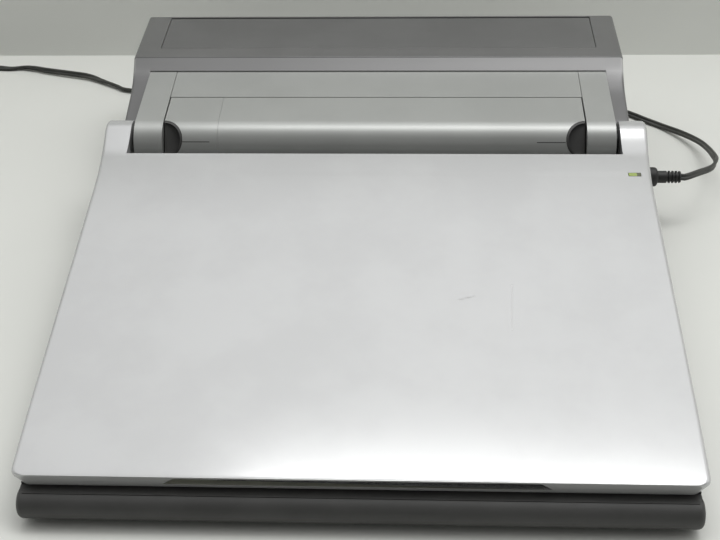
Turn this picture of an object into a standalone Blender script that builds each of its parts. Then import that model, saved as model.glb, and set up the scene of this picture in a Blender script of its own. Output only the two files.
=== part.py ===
# Portable word processor with a hinged lid, a docked hand scanner and a built-in printer.
# Metres, +Z up, +Y to the rear. Places along the depth count from the lid's front edge,
# and one root empty then centres the whole machine over the origin.
import math

import bmesh
import bpy
import numpy as np
from mathutils import Matrix, Vector

# driving sizes of the whole machine: width, hinge place, front level of the lid
lid_half_width = 0.200
hinge_y = 0.317
hinge_height = 0.0601
lid_front_y = 0.00124
lid_front_level = 0.02494
lid_rise_angle = math.atan((hinge_height - lid_front_level) / hinge_y)
lid_length = (hinge_y - lid_front_y) / math.cos(lid_rise_angle)
lid_thickness = 0.0132
barrel_radius = 0.011
case_inset_x = 0.004
case_half_width = lid_half_width - case_inset_x
case_tail_length = 0.146
case_rear_y = hinge_y + case_tail_length
case_clearance = 0.003
case_wall = 0.0025
nose_radius = 0.0095
nose_centre_y = -0.0008
nose_overhang = 0.0014
nose_half_width = case_half_width + nose_overhang
nose_rounding = 0.005
seam_drop = 0.0169
seam_height = hinge_height - seam_drop
trough_rise = 0.0028
trough_height = seam_height + trough_rise
hump_inset_x = 0.003
hump_half_width = case_half_width - hump_inset_x
hump_rise = 0.0322
hump_height = hinge_height + hump_rise
ridge_reach = 0.074
ridge_y = hinge_y + ridge_reach
dock_radius = 0.0195
dock_slope = 0.061
dock_reach = 0.0653
dock_rear_y = hinge_y + dock_reach
gap = 0.0003
overrun = 0.004
key_pitch_share = 0.095
key_pitch = lid_half_width * key_pitch_share
sides_round = 32
sides_small = 20
sides_few = 12

# colours read from the photograph
silver_colour = (0.52, 0.53, 0.53)
silver_dock_colour = (0.42, 0.44, 0.43)
grey_colour = (0.14, 0.14, 0.14)
dark_colour = (0.055, 0.055, 0.055)
black_colour = (0.02, 0.02, 0.02)
steel_colour = (0.55, 0.55, 0.56)
board_colour = (0.03, 0.16, 0.07)
key_colour = (0.33, 0.34, 0.34)
led_colour = (0.45, 0.55, 0.12)

for old in list(bpy.data.objects):
    bpy.data.objects.remove(old, do_unlink=True)

scene_collection = bpy.context.scene.collection


def empty(name, parent=None, place=(0, 0, 0), tilt=0):
    item = bpy.data.objects.new(name, None)
    item.location = place
    item.rotation_euler = (tilt, 0, 0)
    item.parent = parent
    scene_collection.objects.link(item)
    return item


def material(name, colour, roughness, metallic=0):
    item = bpy.data.materials.new(name)
    item.use_nodes = True
    shader = item.node_tree.nodes["Principled BSDF"]
    shader.inputs["Base Color"].default_value = (*colour, 1)
    shader.inputs["Roughness"].default_value = roughness
    shader.inputs["Metallic"].default_value = metallic
    item.diffuse_color = (*colour, 1)
    return item


silver = material("silver_plastic", silver_colour, 0.4)
silver_dock = material("silver_dock_plastic", silver_dock_colour, 0.38)
grey = material("grey_plastic", grey_colour, 0.5)
dark = material("dark_plastic", dark_colour, 0.55)
black = material("black_plastic", black_colour, 0.5)
rubber = material("black_rubber", black_colour, 0.8)
steel = material("steel", steel_colour, 0.3, 1)
board = material("circuit_board", board_colour, 0.45)
keycap = material("keycap_plastic", key_colour, 0.5)
led = material("indicator_lens", led_colour, 0.2)
glass = material("display_glass", dark_colour, 0.12)

# frames that carry the pieces: the sloping deck and the lid share the hinge axis
nose_front_y = nose_centre_y - nose_radius
middle_y = (nose_front_y + case_rear_y) / 2
machine = empty("machine", None, (0, -middle_y, 0))
hinge_place = (0, hinge_y, hinge_height)
deck_frame = empty("deck_frame", machine, hinge_place, lid_rise_angle)
lid_frame = empty("lid_frame", machine, hinge_place, lid_rise_angle)


def finish(name, mesh, look, parent=machine, origin=(0, 0, 0), sharp=35):
    bmesh.ops.translate(mesh, vec=-Vector(origin), verts=mesh.verts)
    bmesh.ops.recalc_face_normals(mesh, faces=mesh.faces)
    data = bpy.data.meshes.new(name)
    mesh.to_mesh(data)
    mesh.free()
    data.shade_smooth()
    data.set_sharp_from_angle(angle=math.radians(sharp))
    if look:
        data.materials.append(look)
    item = bpy.data.objects.new(name, data)
    item.parent = parent
    item.location = origin
    scene_collection.objects.link(item)
    return item


def loft(loops):
    mesh = bmesh.new()
    rings = [[mesh.verts.new(point) for point in loop] for loop in loops]
    for near, far in zip(rings, rings[1:]):
        for index, corner in enumerate(near):
            after = (index + 1) % len(near)
            mesh.faces.new((corner, near[after], far[after], far[index]))
    mesh.faces.new(list(reversed(rings[0])))
    mesh.faces.new(rings[-1])
    return mesh


def along(axis, across, up, reach):
    if axis == "x":
        return (reach, across, up)
    if axis == "y":
        return (across, reach, up)
    return (across, up, reach)


def prism(outline, axis, low, high):
    return loft([[along(axis, a, b, reach) for a, b in outline] for reach in (low, high)])


def block(low, high):
    outline = [(low[0], low[1]), (high[0], low[1]), (high[0], high[1]), (low[0], high[1])]
    return prism(outline, "z", low[2], high[2])


def arc(centre, radius, start, end, steps):
    points = []
    for step in range(steps + 1):
        angle = math.radians(start + (end - start) * step / steps)
        points.append((centre[0] + radius * math.cos(angle), centre[1] + radius * math.sin(angle)))
    return points


def circle(centre, radius, sides=sides_small):
    return arc(centre, radius, 0, 360, sides)[:-1]


def rod(axis, centre, radius, low, high, sides=sides_small):
    return prism(circle(centre, radius, sides), axis, low, high)


def turned(axis, centre, profile, sides=sides_small):
    loops = []
    for radius, reach in profile:
        loops.append([along(axis, a, b, reach) for a, b in circle(centre, radius, sides)])
    return loft(loops)


def inset(outline, depth):
    count = len(outline)
    area = 0
    for index in range(count):
        here = outline[index]
        after = outline[(index + 1) % count]
        area += here[0] * after[1] - after[0] * here[1]
    turn = 1 if area > 0 else -1
    moved = []
    for index in range(count):
        before = Vector(outline[index - 1])
        here = Vector(outline[index])
        after = Vector(outline[(index + 1) % count])
        first = (here - before).normalized()
        second = (after - here).normalized()
        first_normal = Vector((-first.y, first.x)) * turn
        second_normal = Vector((-second.y, second.x)) * turn
        bisector = first_normal + second_normal
        scale = depth * 2 / bisector.length_squared
        moved.append(tuple(here + bisector * scale))
    return moved


def rounded_prism(outline, axis, low, high, rounding, steps=3):
    loops = []
    for step in range(steps + 1):
        angle = math.pi / 2 * step / steps
        depth = rounding * (1 - math.sin(angle))
        reach = low + rounding * (1 - math.cos(angle))
        loops.append([along(axis, a, b, reach) for a, b in inset(outline, depth)])
    for step in range(steps + 1):
        angle = math.pi / 2 * (steps - step) / steps
        depth = rounding * (1 - math.sin(angle))
        reach = high - rounding * (1 - math.cos(angle))
        loops.append([along(axis, a, b, reach) for a, b in inset(outline, depth)])
    return loft(loops)


def change(item, mesh, operation, parent):
    tool_name = item.name + "_" + operation.lower() + str(len(item.modifiers))
    tool = finish(tool_name, mesh, None, parent or item.parent)
    tool.hide_render = True
    tool.display_type = "WIRE"
    step = item.modifiers.new(operation.title(), "BOOLEAN")
    step.operation = operation
    step.object = tool
    step.solver = "EXACT"
    return item


def cut(item, mesh, parent=None):
    return change(item, mesh, "DIFFERENCE", parent)


def fuse(item, mesh, parent=None):
    return change(item, mesh, "UNION", parent)


def keep(item, mesh):
    return change(item, mesh, "INTERSECT", None)


def gear_outline(centre, teeth, module_size, turn_share):
    points = []
    pitch_radius = module_size * teeth / 2
    # radius and angle of one tooth's corners, as shares of the module and of the tooth's pitch
    tooth_shares = ((-1.25, 0.26), (0, 0.35), (0.9, 0.43), (0.9, 0.57), (0, 0.65), (-1.25, 0.74))
    for tooth in range(teeth):
        for radius_share, angle_share in tooth_shares:
            angle = 2 * math.pi * (tooth + angle_share - 0.5 + turn_share) / teeth
            radius = pitch_radius + radius_share * module_size
            points.append((centre[0] + radius * math.cos(angle), centre[1] + radius * math.sin(angle)))
    return points


# lid: a hollow shell with drafted sides, a crowned front and a barrel ear at each rear corner
lid_top = barrel_radius
lid_under = lid_top - lid_thickness
lid_side_rounding = 0.003
lid_side_draft = 0.0045
lid_front_draft = 0.002
lid_corner_radius = 0.006
lid_crown_drop = 0.0018
lid_crown_length = 0.070
lid_plate_wall = 0.002
lid_rim_wall = 0.0045
lid_front_wall = 0.0085
lid_rear_edge = -0.028
ear_width = 0.0175
ear_inner_x = lid_half_width - ear_width
ear_flare = 0.0026
ear_flare_start = -0.062
ear_radius = 0.016
ear_front_angle = 18.5
ear_rear_angle = 36
pin_radius = 0.0035
pin_clearance = 0.0003
scoop_half_width = 0.112
scoop_slant = 0.007
scoop_low = 0.0008
scoop_high = 0.0074
scoop_depth = 0.005
lid_shear_fade_share = 0.8
display_share = 0.5194
display_y = -lid_length * display_share
cavity_half_x = lid_half_width - lid_side_draft - lid_rim_wall / 2
cavity_front_y = -lid_length + lid_front_wall
cavity_rear_y = lid_rear_edge - lid_plate_wall


def eased(share):
    return share * share * (3 - 2 * share)


def lid_crown(y):
    reach = (y + lid_length) / lid_crown_length
    return lid_crown_drop * (1 - reach) ** 2 if reach < 1 else 0


def lid_edge(y):
    reach = (y - ear_flare_start) / (-ear_flare_start)
    share = min(max(reach, 0), 1)
    return lid_half_width + ear_flare * eased(share)


def lid_section(y, width, top, sheared):
    half = []
    half.append((width - lid_side_draft, lid_under))
    for step in range(4):
        angle = math.pi / 2 * step / 3
        across = width - lid_side_rounding * (1 - math.cos(angle))
        up = top - lid_side_rounding * (1 - math.sin(angle))
        half.append((across, up))
    loop = half + [(-across, up) for across, up in reversed(half)]
    return [(a, y + sheared * (top - b) / lid_thickness, b) for a, b in loop]


def make_lid():
    loops = []
    for step in range(5):
        angle = math.pi / 2 * step / 4
        y = -lid_length + lid_corner_radius * (1 - math.cos(angle))
        width = lid_edge(y) - lid_corner_radius * (1 - math.sin(angle))
        shear = lid_front_draft * (1 - lid_shear_fade_share * step / 4)
        loops.append(lid_section(y, width, lid_top - lid_crown(y), shear))
    stations = 6
    for step in range(1, stations + 1):
        y = -lid_length + lid_corner_radius + (lid_crown_length - lid_corner_radius) * step / stations
        loops.append(lid_section(y, lid_edge(y), lid_top - lid_crown(y), 0))
    for step in range(5):
        y = ear_flare_start + (lid_rear_edge - ear_flare_start) * step / 4
        loops.append(lid_section(y, lid_edge(y), lid_top, 0))
    shell = finish("lid_shell", loft(loops), silver, lid_frame)
    for side in (-1, 1):
        fuse(shell, make_ear(side))
    cut(shell, block((-cavity_half_x, cavity_front_y, lid_under - overrun),
                     (cavity_half_x, cavity_rear_y, lid_top - lid_plate_wall)))
    scoop_top = scoop_half_width - scoop_slant
    scoop = [(-scoop_top, scoop_high), (-scoop_half_width, scoop_low),
             (scoop_half_width, scoop_low), (scoop_top, scoop_high)]
    cut(shell, prism(scoop, "y", -lid_length - overrun, -lid_length + scoop_depth))
    bore = pin_radius + pin_clearance
    for side in (-1, 1):
        ends = sorted((side * (ear_inner_x - overrun), side * (pin_reach + gap)))
        cut(shell, rod("x", (0, 0), bore, ends[0], ends[1]))
    cut(shell, led_window_box(0))


def ear_profile():
    start = lid_rear_edge - lid_plate_wall
    lean = math.radians(ear_front_angle)
    meet = (-ear_radius * math.sin(lean), ear_radius * math.cos(lean))
    bend_y = meet[0] - (meet[1] - lid_top) / math.tan(lean)
    profile = [(start, lid_under), (start, lid_top)]
    for step in range(1, 4):
        share = step / 4
        y = start * (1 - share) ** 2 + bend_y * 2 * share * (1 - share) + meet[0] * share ** 2
        profile.append((y, lid_top + (meet[1] - lid_top) * share ** 2))
    profile += arc((0, 0), ear_radius, 90 + ear_front_angle, 90 - ear_rear_angle, 5)
    leave_angle = 90 - ear_rear_angle - math.degrees(math.acos(barrel_radius / ear_radius))
    profile += arc((0, 0), barrel_radius, leave_angle, -90, 5)
    merge_angle = math.degrees(math.asin(lid_under / barrel_radius))
    return profile + arc((0, 0), barrel_radius, -100, -180 - merge_angle, 5)


def make_ear(side):
    profile = ear_profile()
    loops = []
    for step in range(4):
        angle = math.pi / 2 * step / 3
        depth = lid_side_rounding * (1 - math.sin(angle))
        margin = lid_side_rounding * (1 - math.cos(angle))
        loops.append([(side * (lid_edge(a) - margin), a, b) for a, b in inset(profile, depth)])
    loops.append([(side * ear_inner_x, a, b) for a, b in profile])
    return loft(loops)


led_inset_x = 0.0118
led_centre_x = lid_half_width - led_inset_x
led_centre_y = -0.0507
led_length = 0.0092
led_width = 0.0040
led_depth = 0.0018
led_proud = 0.0002


def led_window_box(shrink):
    half_x = led_length / 2 - shrink
    half_y = led_width / 2 - shrink
    top = lid_top + (overrun if shrink == 0 else led_proud)
    low = lid_top - led_depth + shrink
    return block((led_centre_x - half_x, led_centre_y - half_y, low),
                 (led_centre_x + half_x, led_centre_y + half_y, top))


collar_radius = 0.0085
collar_width = 0.0033
arm_outer_x = ear_inner_x - collar_width
pin_depth = 0.0112
pin_inner_x = arm_outer_x - pin_depth
pin_ear_depth = 0.0145
pin_reach = ear_inner_x + pin_ear_depth
make_lid()
finish("indicator_window", led_window_box(gap), led, lid_frame)

# display: a frame that closes the lid's underside, with the panel behind it
bezel_level = 0.0015
bezel_thickness = 0.002
screen_half_x = 0.1075
screen_half_y = 0.081
panel_margin = 0.009
panel_thickness = 0.0048


def make_display():
    frame = finish("display_frame", block(
        (-cavity_half_x + gap, cavity_front_y + gap, bezel_level),
        (cavity_half_x - gap, cavity_rear_y - gap, bezel_level + bezel_thickness)), dark, lid_frame)
    cut(frame, block((-screen_half_x, display_y - screen_half_y, bezel_level - overrun),
                     (screen_half_x, display_y + screen_half_y, bezel_level + overrun)))
    panel_low = bezel_level + bezel_thickness + gap
    half_x = screen_half_x + panel_margin
    half_y = screen_half_y + panel_margin
    finish("display_panel", block(
        (-half_x, display_y - half_y, panel_low),
        (half_x, display_y + half_y, panel_low + panel_thickness)), glass, lid_frame)


make_display()

# hinge pins: a steel pin with a dark collar that fills the gap between arm and ear


def make_pin(name, side):
    collar_low = arm_outer_x + gap
    collar_high = ear_inner_x - gap
    profile = [(pin_radius, pin_inner_x), (pin_radius, collar_low), (collar_radius, collar_low),
               (collar_radius, collar_high), (pin_radius, collar_high), (pin_radius, pin_reach)]
    profile = [(radius, side * reach) for radius, reach in profile]
    finish(name, turned("x", (0, 0), profile), steel, deck_frame)


make_pin("hinge_pin_left", -1)
make_pin("hinge_pin_right", 1)

# lower case: a tray whose front edge is a full round nose
lid_rest_gap = 0.0004
deck_under = lid_under - lid_rest_gap
deck_thickness = 0.0025
slope = math.tan(lid_rise_angle)


def deck_height(y):
    level = deck_under / math.cos(lid_rise_angle)
    return hinge_height + level + slope * (y - hinge_y)


deck_front_y = 0.0052
deck_rear_setback = 0.0275
deck_rear_y = hinge_y - deck_rear_setback
nose_centre = (nose_centre_y, case_clearance + nose_radius)
case_cover_drop = deck_thickness + gap
nose_flat_share = 0.97


def case_outline():
    nose_top = nose_centre[1] + nose_radius * nose_flat_share
    points = [(nose_centre_y, case_clearance), (nose_centre_y, nose_top)]
    points.append((deck_front_y - gap, nose_top))
    points.append((deck_front_y - gap, deck_height(deck_front_y) - case_cover_drop))
    points.append((deck_rear_y, deck_height(deck_rear_y) - case_cover_drop))
    points.append((deck_rear_y, seam_height))
    points.append((case_rear_y, seam_height))
    points.append((case_rear_y, case_clearance + case_wall))
    points.append((case_rear_y - case_wall, case_clearance))
    return points


post_radius = 0.003
board_level = 0.008
drive_depth = 0.127
board_inset_x = 0.021
board_drive_gap = 0.0165
board_low_x = -case_half_width + board_inset_x
board_high_x = case_half_width - case_wall - drive_depth - board_drive_gap
board_setback = 0.042
board_depth = 0.215
board_high_y = hinge_y - board_setback
board_low_y = board_high_y - board_depth
post_margin = 0.012
key_web_level = -0.0090
key_web_thickness = 0.0012
key_travel = 0.0030
sheet_thickness = 0.0012
sheet_level = key_web_level - key_web_thickness - key_travel - 2 * gap
sheet_under = (sheet_level - sheet_thickness) / math.cos(lid_rise_angle)
drive_low = 0.0068
drive_height = 0.0146
drive_width = 0.1016
drive_clearance = 0.00175
drive_top_under_hinge = hinge_height - drive_low - drive_height - drive_clearance
drive_low_y = hinge_y - (drive_top_under_hinge + sheet_under) / slope
power_drop = 0.0147
power_level = seam_height - power_drop
power_board_width = 0.0585
power_board_depth = 0.076
power_board_setback = 0.0404
power_high_x = case_half_width - case_wall - case_wall * 2
power_low_x = power_high_x - power_board_width
power_low_y = drive_low_y + drive_width + power_board_setback
power_high_y = power_low_y + power_board_depth
jack_setback = 0.0135
jack_drop = 0.0052
jack_y = hinge_y - jack_setback
jack_height = seam_height - jack_drop
socket_radius = 0.0042
slot_width = 0.092
slot_height = 0.005
slot_rise = 0.0078
slot_start_share = 0.25
eject_y_share = 0.86
eject_width = 0.009
eject_height = 0.0036
eject_rise = 0.0020
drive_mid_y = drive_low_y + drive_width / 2
eject_y = drive_low_y + drive_width * eject_y_share
rear_vent_count = 8
rear_vent_pitch = 0.012
rear_vent_width = 0.003
rear_vent_height = 0.014
rear_vent_rise = 0.014


def posts(low_x, high_x, low_y, high_y, level):
    places = []
    for x in (low_x + post_margin, high_x - post_margin):
        for y in (low_y + post_margin, high_y - post_margin):
            places.append((x, y, level))
    return places


def make_case():
    case = finish("lower_case", prism(case_outline(), "x", -case_half_width, case_half_width), dark)
    ends = []
    for step in range(5):
        angle = math.pi / 2 * step / 4
        depth = nose_rounding * (1 - math.sin(angle))
        ends.append((nose_radius - depth, nose_half_width - nose_rounding * (1 - math.cos(angle))))
    profile = [(radius, -reach) for radius, reach in ends] + list(reversed(ends))
    fuse(case, turned("x", nose_centre, profile, sides_round))
    floor = case_clearance + case_wall
    hollow_radius = nose_radius - case_wall
    hollow = arc(nose_centre, hollow_radius, 270, 90, 8)
    hollow.append((deck_front_y + case_wall, case_clearance + 2 * nose_radius - case_wall))
    hollow.append((deck_front_y + case_wall, deck_height(deck_rear_y) + overrun))
    hollow.append((case_rear_y - case_wall, deck_height(deck_rear_y) + overrun))
    hollow.append((case_rear_y - case_wall, floor))
    inside = case_half_width - case_wall
    cut(case, prism(hollow, "x", -inside, inside))
    for x, y, level in posts(board_low_x, board_high_x, board_low_y, board_high_y, board_level):
        fuse(case, rod("z", (x, y), post_radius, floor - case_wall / 2, level - gap, sides_few))
    for x, y, level in posts(power_low_x, power_high_x, power_low_y, power_high_y, power_level):
        fuse(case, rod("z", (x, y), post_radius, floor - case_wall / 2, level - gap, sides_few))
    outside = nose_half_width + overrun
    cut(case, rod("x", (jack_y, jack_height), socket_radius + gap, inside - overrun, outside))
    slot_low = drive_low + slot_rise - gap
    cut(case, block((inside - overrun, drive_mid_y - slot_width / 2, slot_low),
                    (nose_half_width + overrun, drive_mid_y + slot_width / 2, slot_low + slot_height)))
    eject_low = drive_low + eject_rise - gap
    half = eject_width / 2 + gap
    cut(case, block((inside - overrun, eject_y - half, eject_low),
                    (nose_half_width + overrun, eject_y + half, eject_low + eject_height + 2 * gap)))
    start = -rear_vent_pitch * (rear_vent_count - 1) / 2
    for index in range(rear_vent_count):
        x = start + rear_vent_pitch * index
        cut(case, block((x, case_rear_y - case_wall - overrun, rear_vent_rise),
                        (x + rear_vent_width, case_rear_y + overrun, rear_vent_rise + rear_vent_height)))
    return case


make_case()

# deck: the sloping keyboard deck, then a step down into the trough under the scanner dock
keys_low_share = 0.81
keys_low_x = -lid_half_width * keys_low_share
keys_columns = 14
side_keys_share = 0.56
side_keys_x = lid_half_width * side_keys_share
side_columns = 3
row_front_share = 0.8263
row_front_y = -lid_length * row_front_share
key_rows = 5
function_setback = 0.005
function_y = row_front_y + key_pitch * key_rows + function_setback
function_depth = 0.013
key_margin = 0.0012
key_top_level = -0.0004
key_gap = 0.0012
key_draft = 0.0022
button_share = 0.75
button_x = lid_half_width * button_share
button_reach = 0.0575
button_y = function_y + button_reach
button_half_x = 0.008
button_half_y = 0.0045
button_travel = 0.0015
step_back = 0.003
step_back_y = deck_rear_y + step_back
trough_setback = 0.001
sheet_margin = 0.006
deck_post_radius = 0.0020
deck_post_count = 3
stem_radius = 0.0022
stem_low = sheet_level - sheet_thickness - gap
space_low_share = 3.5
space_high_share = 9.5
space_stem_shares = (0.25, 0.75)
function_count = 13
left_modifiers = 3
right_modifiers = 4
keys_high_x = keys_low_x + key_pitch * keys_columns
keys_rear_y = row_front_y + key_pitch * key_rows
side_high_x = side_keys_x + key_pitch * side_columns
trough_rear_y = dock_rear_y - trough_setback


def make_deck():
    under = seam_height + gap
    outline = [(deck_front_y, deck_height(deck_front_y)), (deck_rear_y, deck_height(deck_rear_y)),
               (step_back_y, deck_height(deck_rear_y) - deck_thickness), (step_back_y, trough_height),
               (trough_rear_y, trough_height), (trough_rear_y, under),
               (deck_rear_y + gap, under),
               (deck_rear_y + gap, deck_height(deck_rear_y) - deck_thickness),
               (deck_front_y, deck_height(deck_front_y) - deck_thickness)]
    deck = finish("keyboard_deck", prism(outline, "x", -case_half_width, case_half_width), dark)
    low = key_web_level - overrun
    high = deck_under + overrun
    cut(deck, block((keys_low_x - key_margin, row_front_y - key_margin, low),
                    (keys_high_x + key_margin, keys_rear_y + key_margin, high)), deck_frame)
    cut(deck, block((side_keys_x - key_margin, row_front_y - key_margin, low),
                    (side_high_x + key_margin, keys_rear_y + key_margin, high)), deck_frame)
    cut(deck, block((keys_low_x - key_margin, function_y - key_margin, low),
                    (side_high_x + key_margin, function_y + function_depth + key_margin, high)), deck_frame)
    cut(deck, block((button_x - button_half_x - gap, button_y - button_half_y - gap, low),
                    (button_x + button_half_x + gap, button_y + button_half_y + gap, high)), deck_frame)
    front = row_front_y + sheet_margin
    rear = function_y + function_depth - sheet_margin
    for x in (keys_low_x - sheet_margin / 2, side_high_x + sheet_margin / 2):
        for index in range(deck_post_count):
            y = front + (rear - front) * index / (deck_post_count - 1)
            fuse(deck, rod("z", (x, y), deck_post_radius, sheet_level + gap, deck_under - deck_thickness / 2,
                           sides_few), deck_frame)


make_deck()

# keyboard: each row is a strip of caps on one web, over a sheet that carries them all


def cap_edges(spans, low, high):
    edges = [low]
    for near, far in spans:
        edges += [near + key_gap / 2, far - key_gap / 2]
    edges.append(high)
    return edges


def key_grid(name, spans, rows, low_y, high_y, stems, bare=()):
    # one web with a cap over every span and row, except the spans numbered in bare
    mesh = bmesh.new()
    edge_x = cap_edges(spans, spans[0][0] - key_gap / 4, spans[-1][1] + key_gap / 4)
    edge_y = cap_edges(rows, low_y, high_y)
    base = key_web_level - key_web_thickness
    top = [[mesh.verts.new((x, y, key_web_level)) for y in edge_y] for x in edge_x]
    bottom = [[mesh.verts.new((x, y, base)) for y in edge_y] for x in edge_x]
    columns = len(edge_x) - 1
    lines = len(edge_y) - 1
    caps = []
    for i in range(columns):
        for j in range(lines):
            face = mesh.faces.new((top[i][j], top[i + 1][j], top[i + 1][j + 1], top[i][j + 1]))
            mesh.faces.new((bottom[i][j], bottom[i][j + 1], bottom[i + 1][j + 1], bottom[i + 1][j]))
            if i % 2 == 1 and j % 2 == 1 and i // 2 not in bare:
                caps.append(face)
    for i in range(columns):
        mesh.faces.new((top[i][0], bottom[i][0], bottom[i + 1][0], top[i + 1][0]))
        mesh.faces.new((top[i][-1], top[i + 1][-1], bottom[i + 1][-1], bottom[i][-1]))
    for j in range(lines):
        mesh.faces.new((top[0][j], top[0][j + 1], bottom[0][j + 1], bottom[0][j]))
        mesh.faces.new((top[-1][j], bottom[-1][j], bottom[-1][j + 1], top[-1][j + 1]))
    for cap in caps:
        raised = bmesh.ops.extrude_face_region(mesh, geom=[cap])["geom"]
        corners = [item for item in raised if isinstance(item, bmesh.types.BMVert)]
        mesh.faces.remove(cap)
        centre = sum((corner.co for corner in corners), Vector()) / len(corners)
        for corner in corners:
            corner.co.z = key_top_level
            corner.co.x -= math.copysign(key_draft, corner.co.x - centre.x)
            corner.co.y -= math.copysign(key_draft / 2, corner.co.y - centre.y)
    bank = finish(name, mesh, keycap, deck_frame)
    for x, y in stems:
        add_stem(bank, x, y, base + key_web_thickness / 2)
    return bank


def add_stem(bank, x, y, top):
    fuse(bank, rod("z", (x, y), stem_radius, stem_low, top, sides_few))
    stem_places.append((x, y))


def middle(span):
    return (span[0] + span[1]) / 2


def even_spans(low_x, pitch, count):
    return [(low_x + pitch * index, low_x + pitch * (index + 1)) for index in range(count)]


stem_places = []


def make_keys():
    main_spans = even_spans(keys_low_x, key_pitch, keys_columns)
    rows = even_spans(row_front_y, key_pitch, key_rows)
    for row in range(1, key_rows):
        low_y, high_y = rows[row]
        stems = [(middle(span), middle(rows[row])) for span in (main_spans[2], main_spans[-3])]
        key_grid("key_row_" + str(row), main_spans, [rows[row]], low_y + gap / 2, high_y - gap / 2, stems)
    low_y = rows[0][0] + gap / 2
    high_y = rows[0][1] - gap / 2
    space_low = keys_low_x + key_pitch * space_low_share
    space_high = keys_low_x + key_pitch * space_high_share
    left = even_spans(keys_low_x, (space_low - keys_low_x) / left_modifiers, left_modifiers)
    right = even_spans(space_high, (keys_high_x - space_high) / right_modifiers, right_modifiers)
    spans = left + [(space_low, space_high)] + right
    stems = [(middle(left[1]), middle(rows[0])), (middle(right[1]), middle(rows[0]))]
    modifiers = key_grid("modifier_keys", spans, [rows[0]], low_y, high_y, stems, (len(left),))
    space_bar = make_space_bar(space_low, space_high, low_y, high_y)
    for share in space_stem_shares:
        x = space_low + (space_high - space_low) * share
        y = middle(rows[0])
        add_stem(space_bar, x, y, key_top_level - key_travel)
        cut(modifiers, rod("z", (x, y), stem_radius + gap, stem_low, key_web_level + gap, sides_few))
    side_spans = even_spans(side_keys_x, key_pitch, side_columns)
    stems = [(middle(side_spans[1]), middle(row)) for row in (rows[0], rows[2])]
    key_grid("cursor_keys", side_spans, rows, row_front_y + gap / 2, keys_rear_y - gap / 2, stems)
    function_spans = even_spans(keys_low_x, (side_high_x - keys_low_x) / function_count, function_count)
    function_row = (function_y, function_y + function_depth)
    carried = (function_spans[1], function_spans[function_count // 2 + 1])
    stems = [(middle(span), middle(function_row)) for span in carried]
    key_grid("function_keys", function_spans, [function_row], *function_row, stems)


def make_space_bar(low_x, high_x, low_y, high_y):
    loops = []
    under = key_web_level + key_travel + 2 * gap
    for level, draw in ((under, key_gap / 2), (key_top_level, key_draft)):
        loops.append([(low_x + draw, low_y + draw, level), (high_x - draw, low_y + draw, level),
                      (high_x - draw, high_y - draw, level), (low_x + draw, high_y - draw, level)])
    return finish("space_bar", loft(loops), keycap, deck_frame)


make_keys()


def make_key_sheet():
    rear_y = function_y + function_depth + sheet_margin
    plate = finish("keyboard_plate", block(
        (keys_low_x - sheet_margin, row_front_y - sheet_margin, sheet_level - sheet_thickness),
        (side_high_x + sheet_margin, rear_y, sheet_level)), steel, deck_frame)
    for place in stem_places:
        cut(plate, rod("z", place, stem_radius + gap, stem_low - gap, sheet_level + gap, sides_few))
    button_low = deck_under - deck_thickness - button_travel
    finish("power_button", block(
        (button_x - button_half_x, button_y - button_half_y, button_low),
        (button_x + button_half_x, button_y + button_half_y, key_top_level)), keycap, deck_frame)


make_key_sheet()

# electronics in the tray
board_thickness = 0.0016
chip_height = 0.0025
chip_size = 0.028
chip_shares = ((0.3, 0.35), (0.62, 0.3), (0.62, 0.7))
part_height = 0.012
winding_share = 0.35
jack_depth = 0.0135
jack_half_width = 0.006
jack_body_top = seam_height - 2 * gap
jack_bore_share = 0.7
jack_pin_share = 0.8
plug_bore = 0.0031
centre_pin_radius = 0.0008


def make_boards():
    main = finish("main_board", block((board_low_x, board_low_y, board_level),
                                      (board_high_x, board_high_y, board_level + board_thickness)), board)
    top = board_level + board_thickness
    for across_share, along_share in chip_shares:
        x = board_low_x + (board_high_x - board_low_x) * across_share
        y = board_low_y + (board_high_y - board_low_y) * along_share
        fuse(main, block((x - chip_size / 2, y - chip_size / 2, top - board_thickness / 2),
                         (x + chip_size / 2, y + chip_size / 2, top + chip_height)))
    power = finish("power_board", block((power_low_x, power_low_y, power_level),
                                        (power_high_x, power_high_y, power_level + board_thickness)), board)
    top = power_level + board_thickness
    coil_x = power_low_x + (power_high_x - power_low_x) * winding_share
    coil_y = power_high_y - (power_high_y - power_low_y) * winding_share
    fuse(power, rod("z", (coil_x, coil_y), part_height / 2, top - board_thickness / 2, top + part_height))
    inner_x = case_half_width - case_wall - gap
    jack = finish("power_jack", block((inner_x - jack_depth, jack_y - jack_half_width, top + gap),
                                      (inner_x, jack_y + jack_half_width, jack_body_top)), black)
    fuse(jack, rod("x", (jack_y, jack_height), socket_radius, inner_x - gap, nose_half_width))
    bore_x = inner_x - jack_depth * jack_bore_share
    cut(jack, rod("x", (jack_y, jack_height), plug_bore, bore_x, nose_half_width + overrun))
    pin_x = inner_x - jack_depth * jack_pin_share
    fuse(jack, rod("x", (jack_y, jack_height), centre_pin_radius, pin_x, inner_x, sides_few))


make_boards()


def make_drive():
    front_x = case_half_width - case_wall - gap
    low_x = front_x - drive_depth
    drive = finish("disk_drive", block(
        (low_x, drive_low_y, drive_low),
        (front_x, drive_low_y + drive_width, drive_low + drive_height)), steel)
    slot_low = drive_low + slot_rise - gap
    cut(drive, block((low_x + drive_depth * slot_start_share, drive_mid_y - slot_width / 2, slot_low),
                     (front_x + overrun, drive_mid_y + slot_width / 2, slot_low + slot_height)))
    eject_low = drive_low + eject_rise
    half = eject_width / 2
    reach = front_x - eject_length_inside
    cut(drive, block((reach - eject_travel - gap, eject_y - half - gap, eject_low - gap),
                     (front_x + overrun, eject_y + half + gap, eject_low + eject_height + gap)))
    finish("disk_eject_button", block(
        (reach, eject_y - half, eject_low),
        (nose_half_width + eject_proud, eject_y + half, eject_low + eject_height)), dark)


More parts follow.
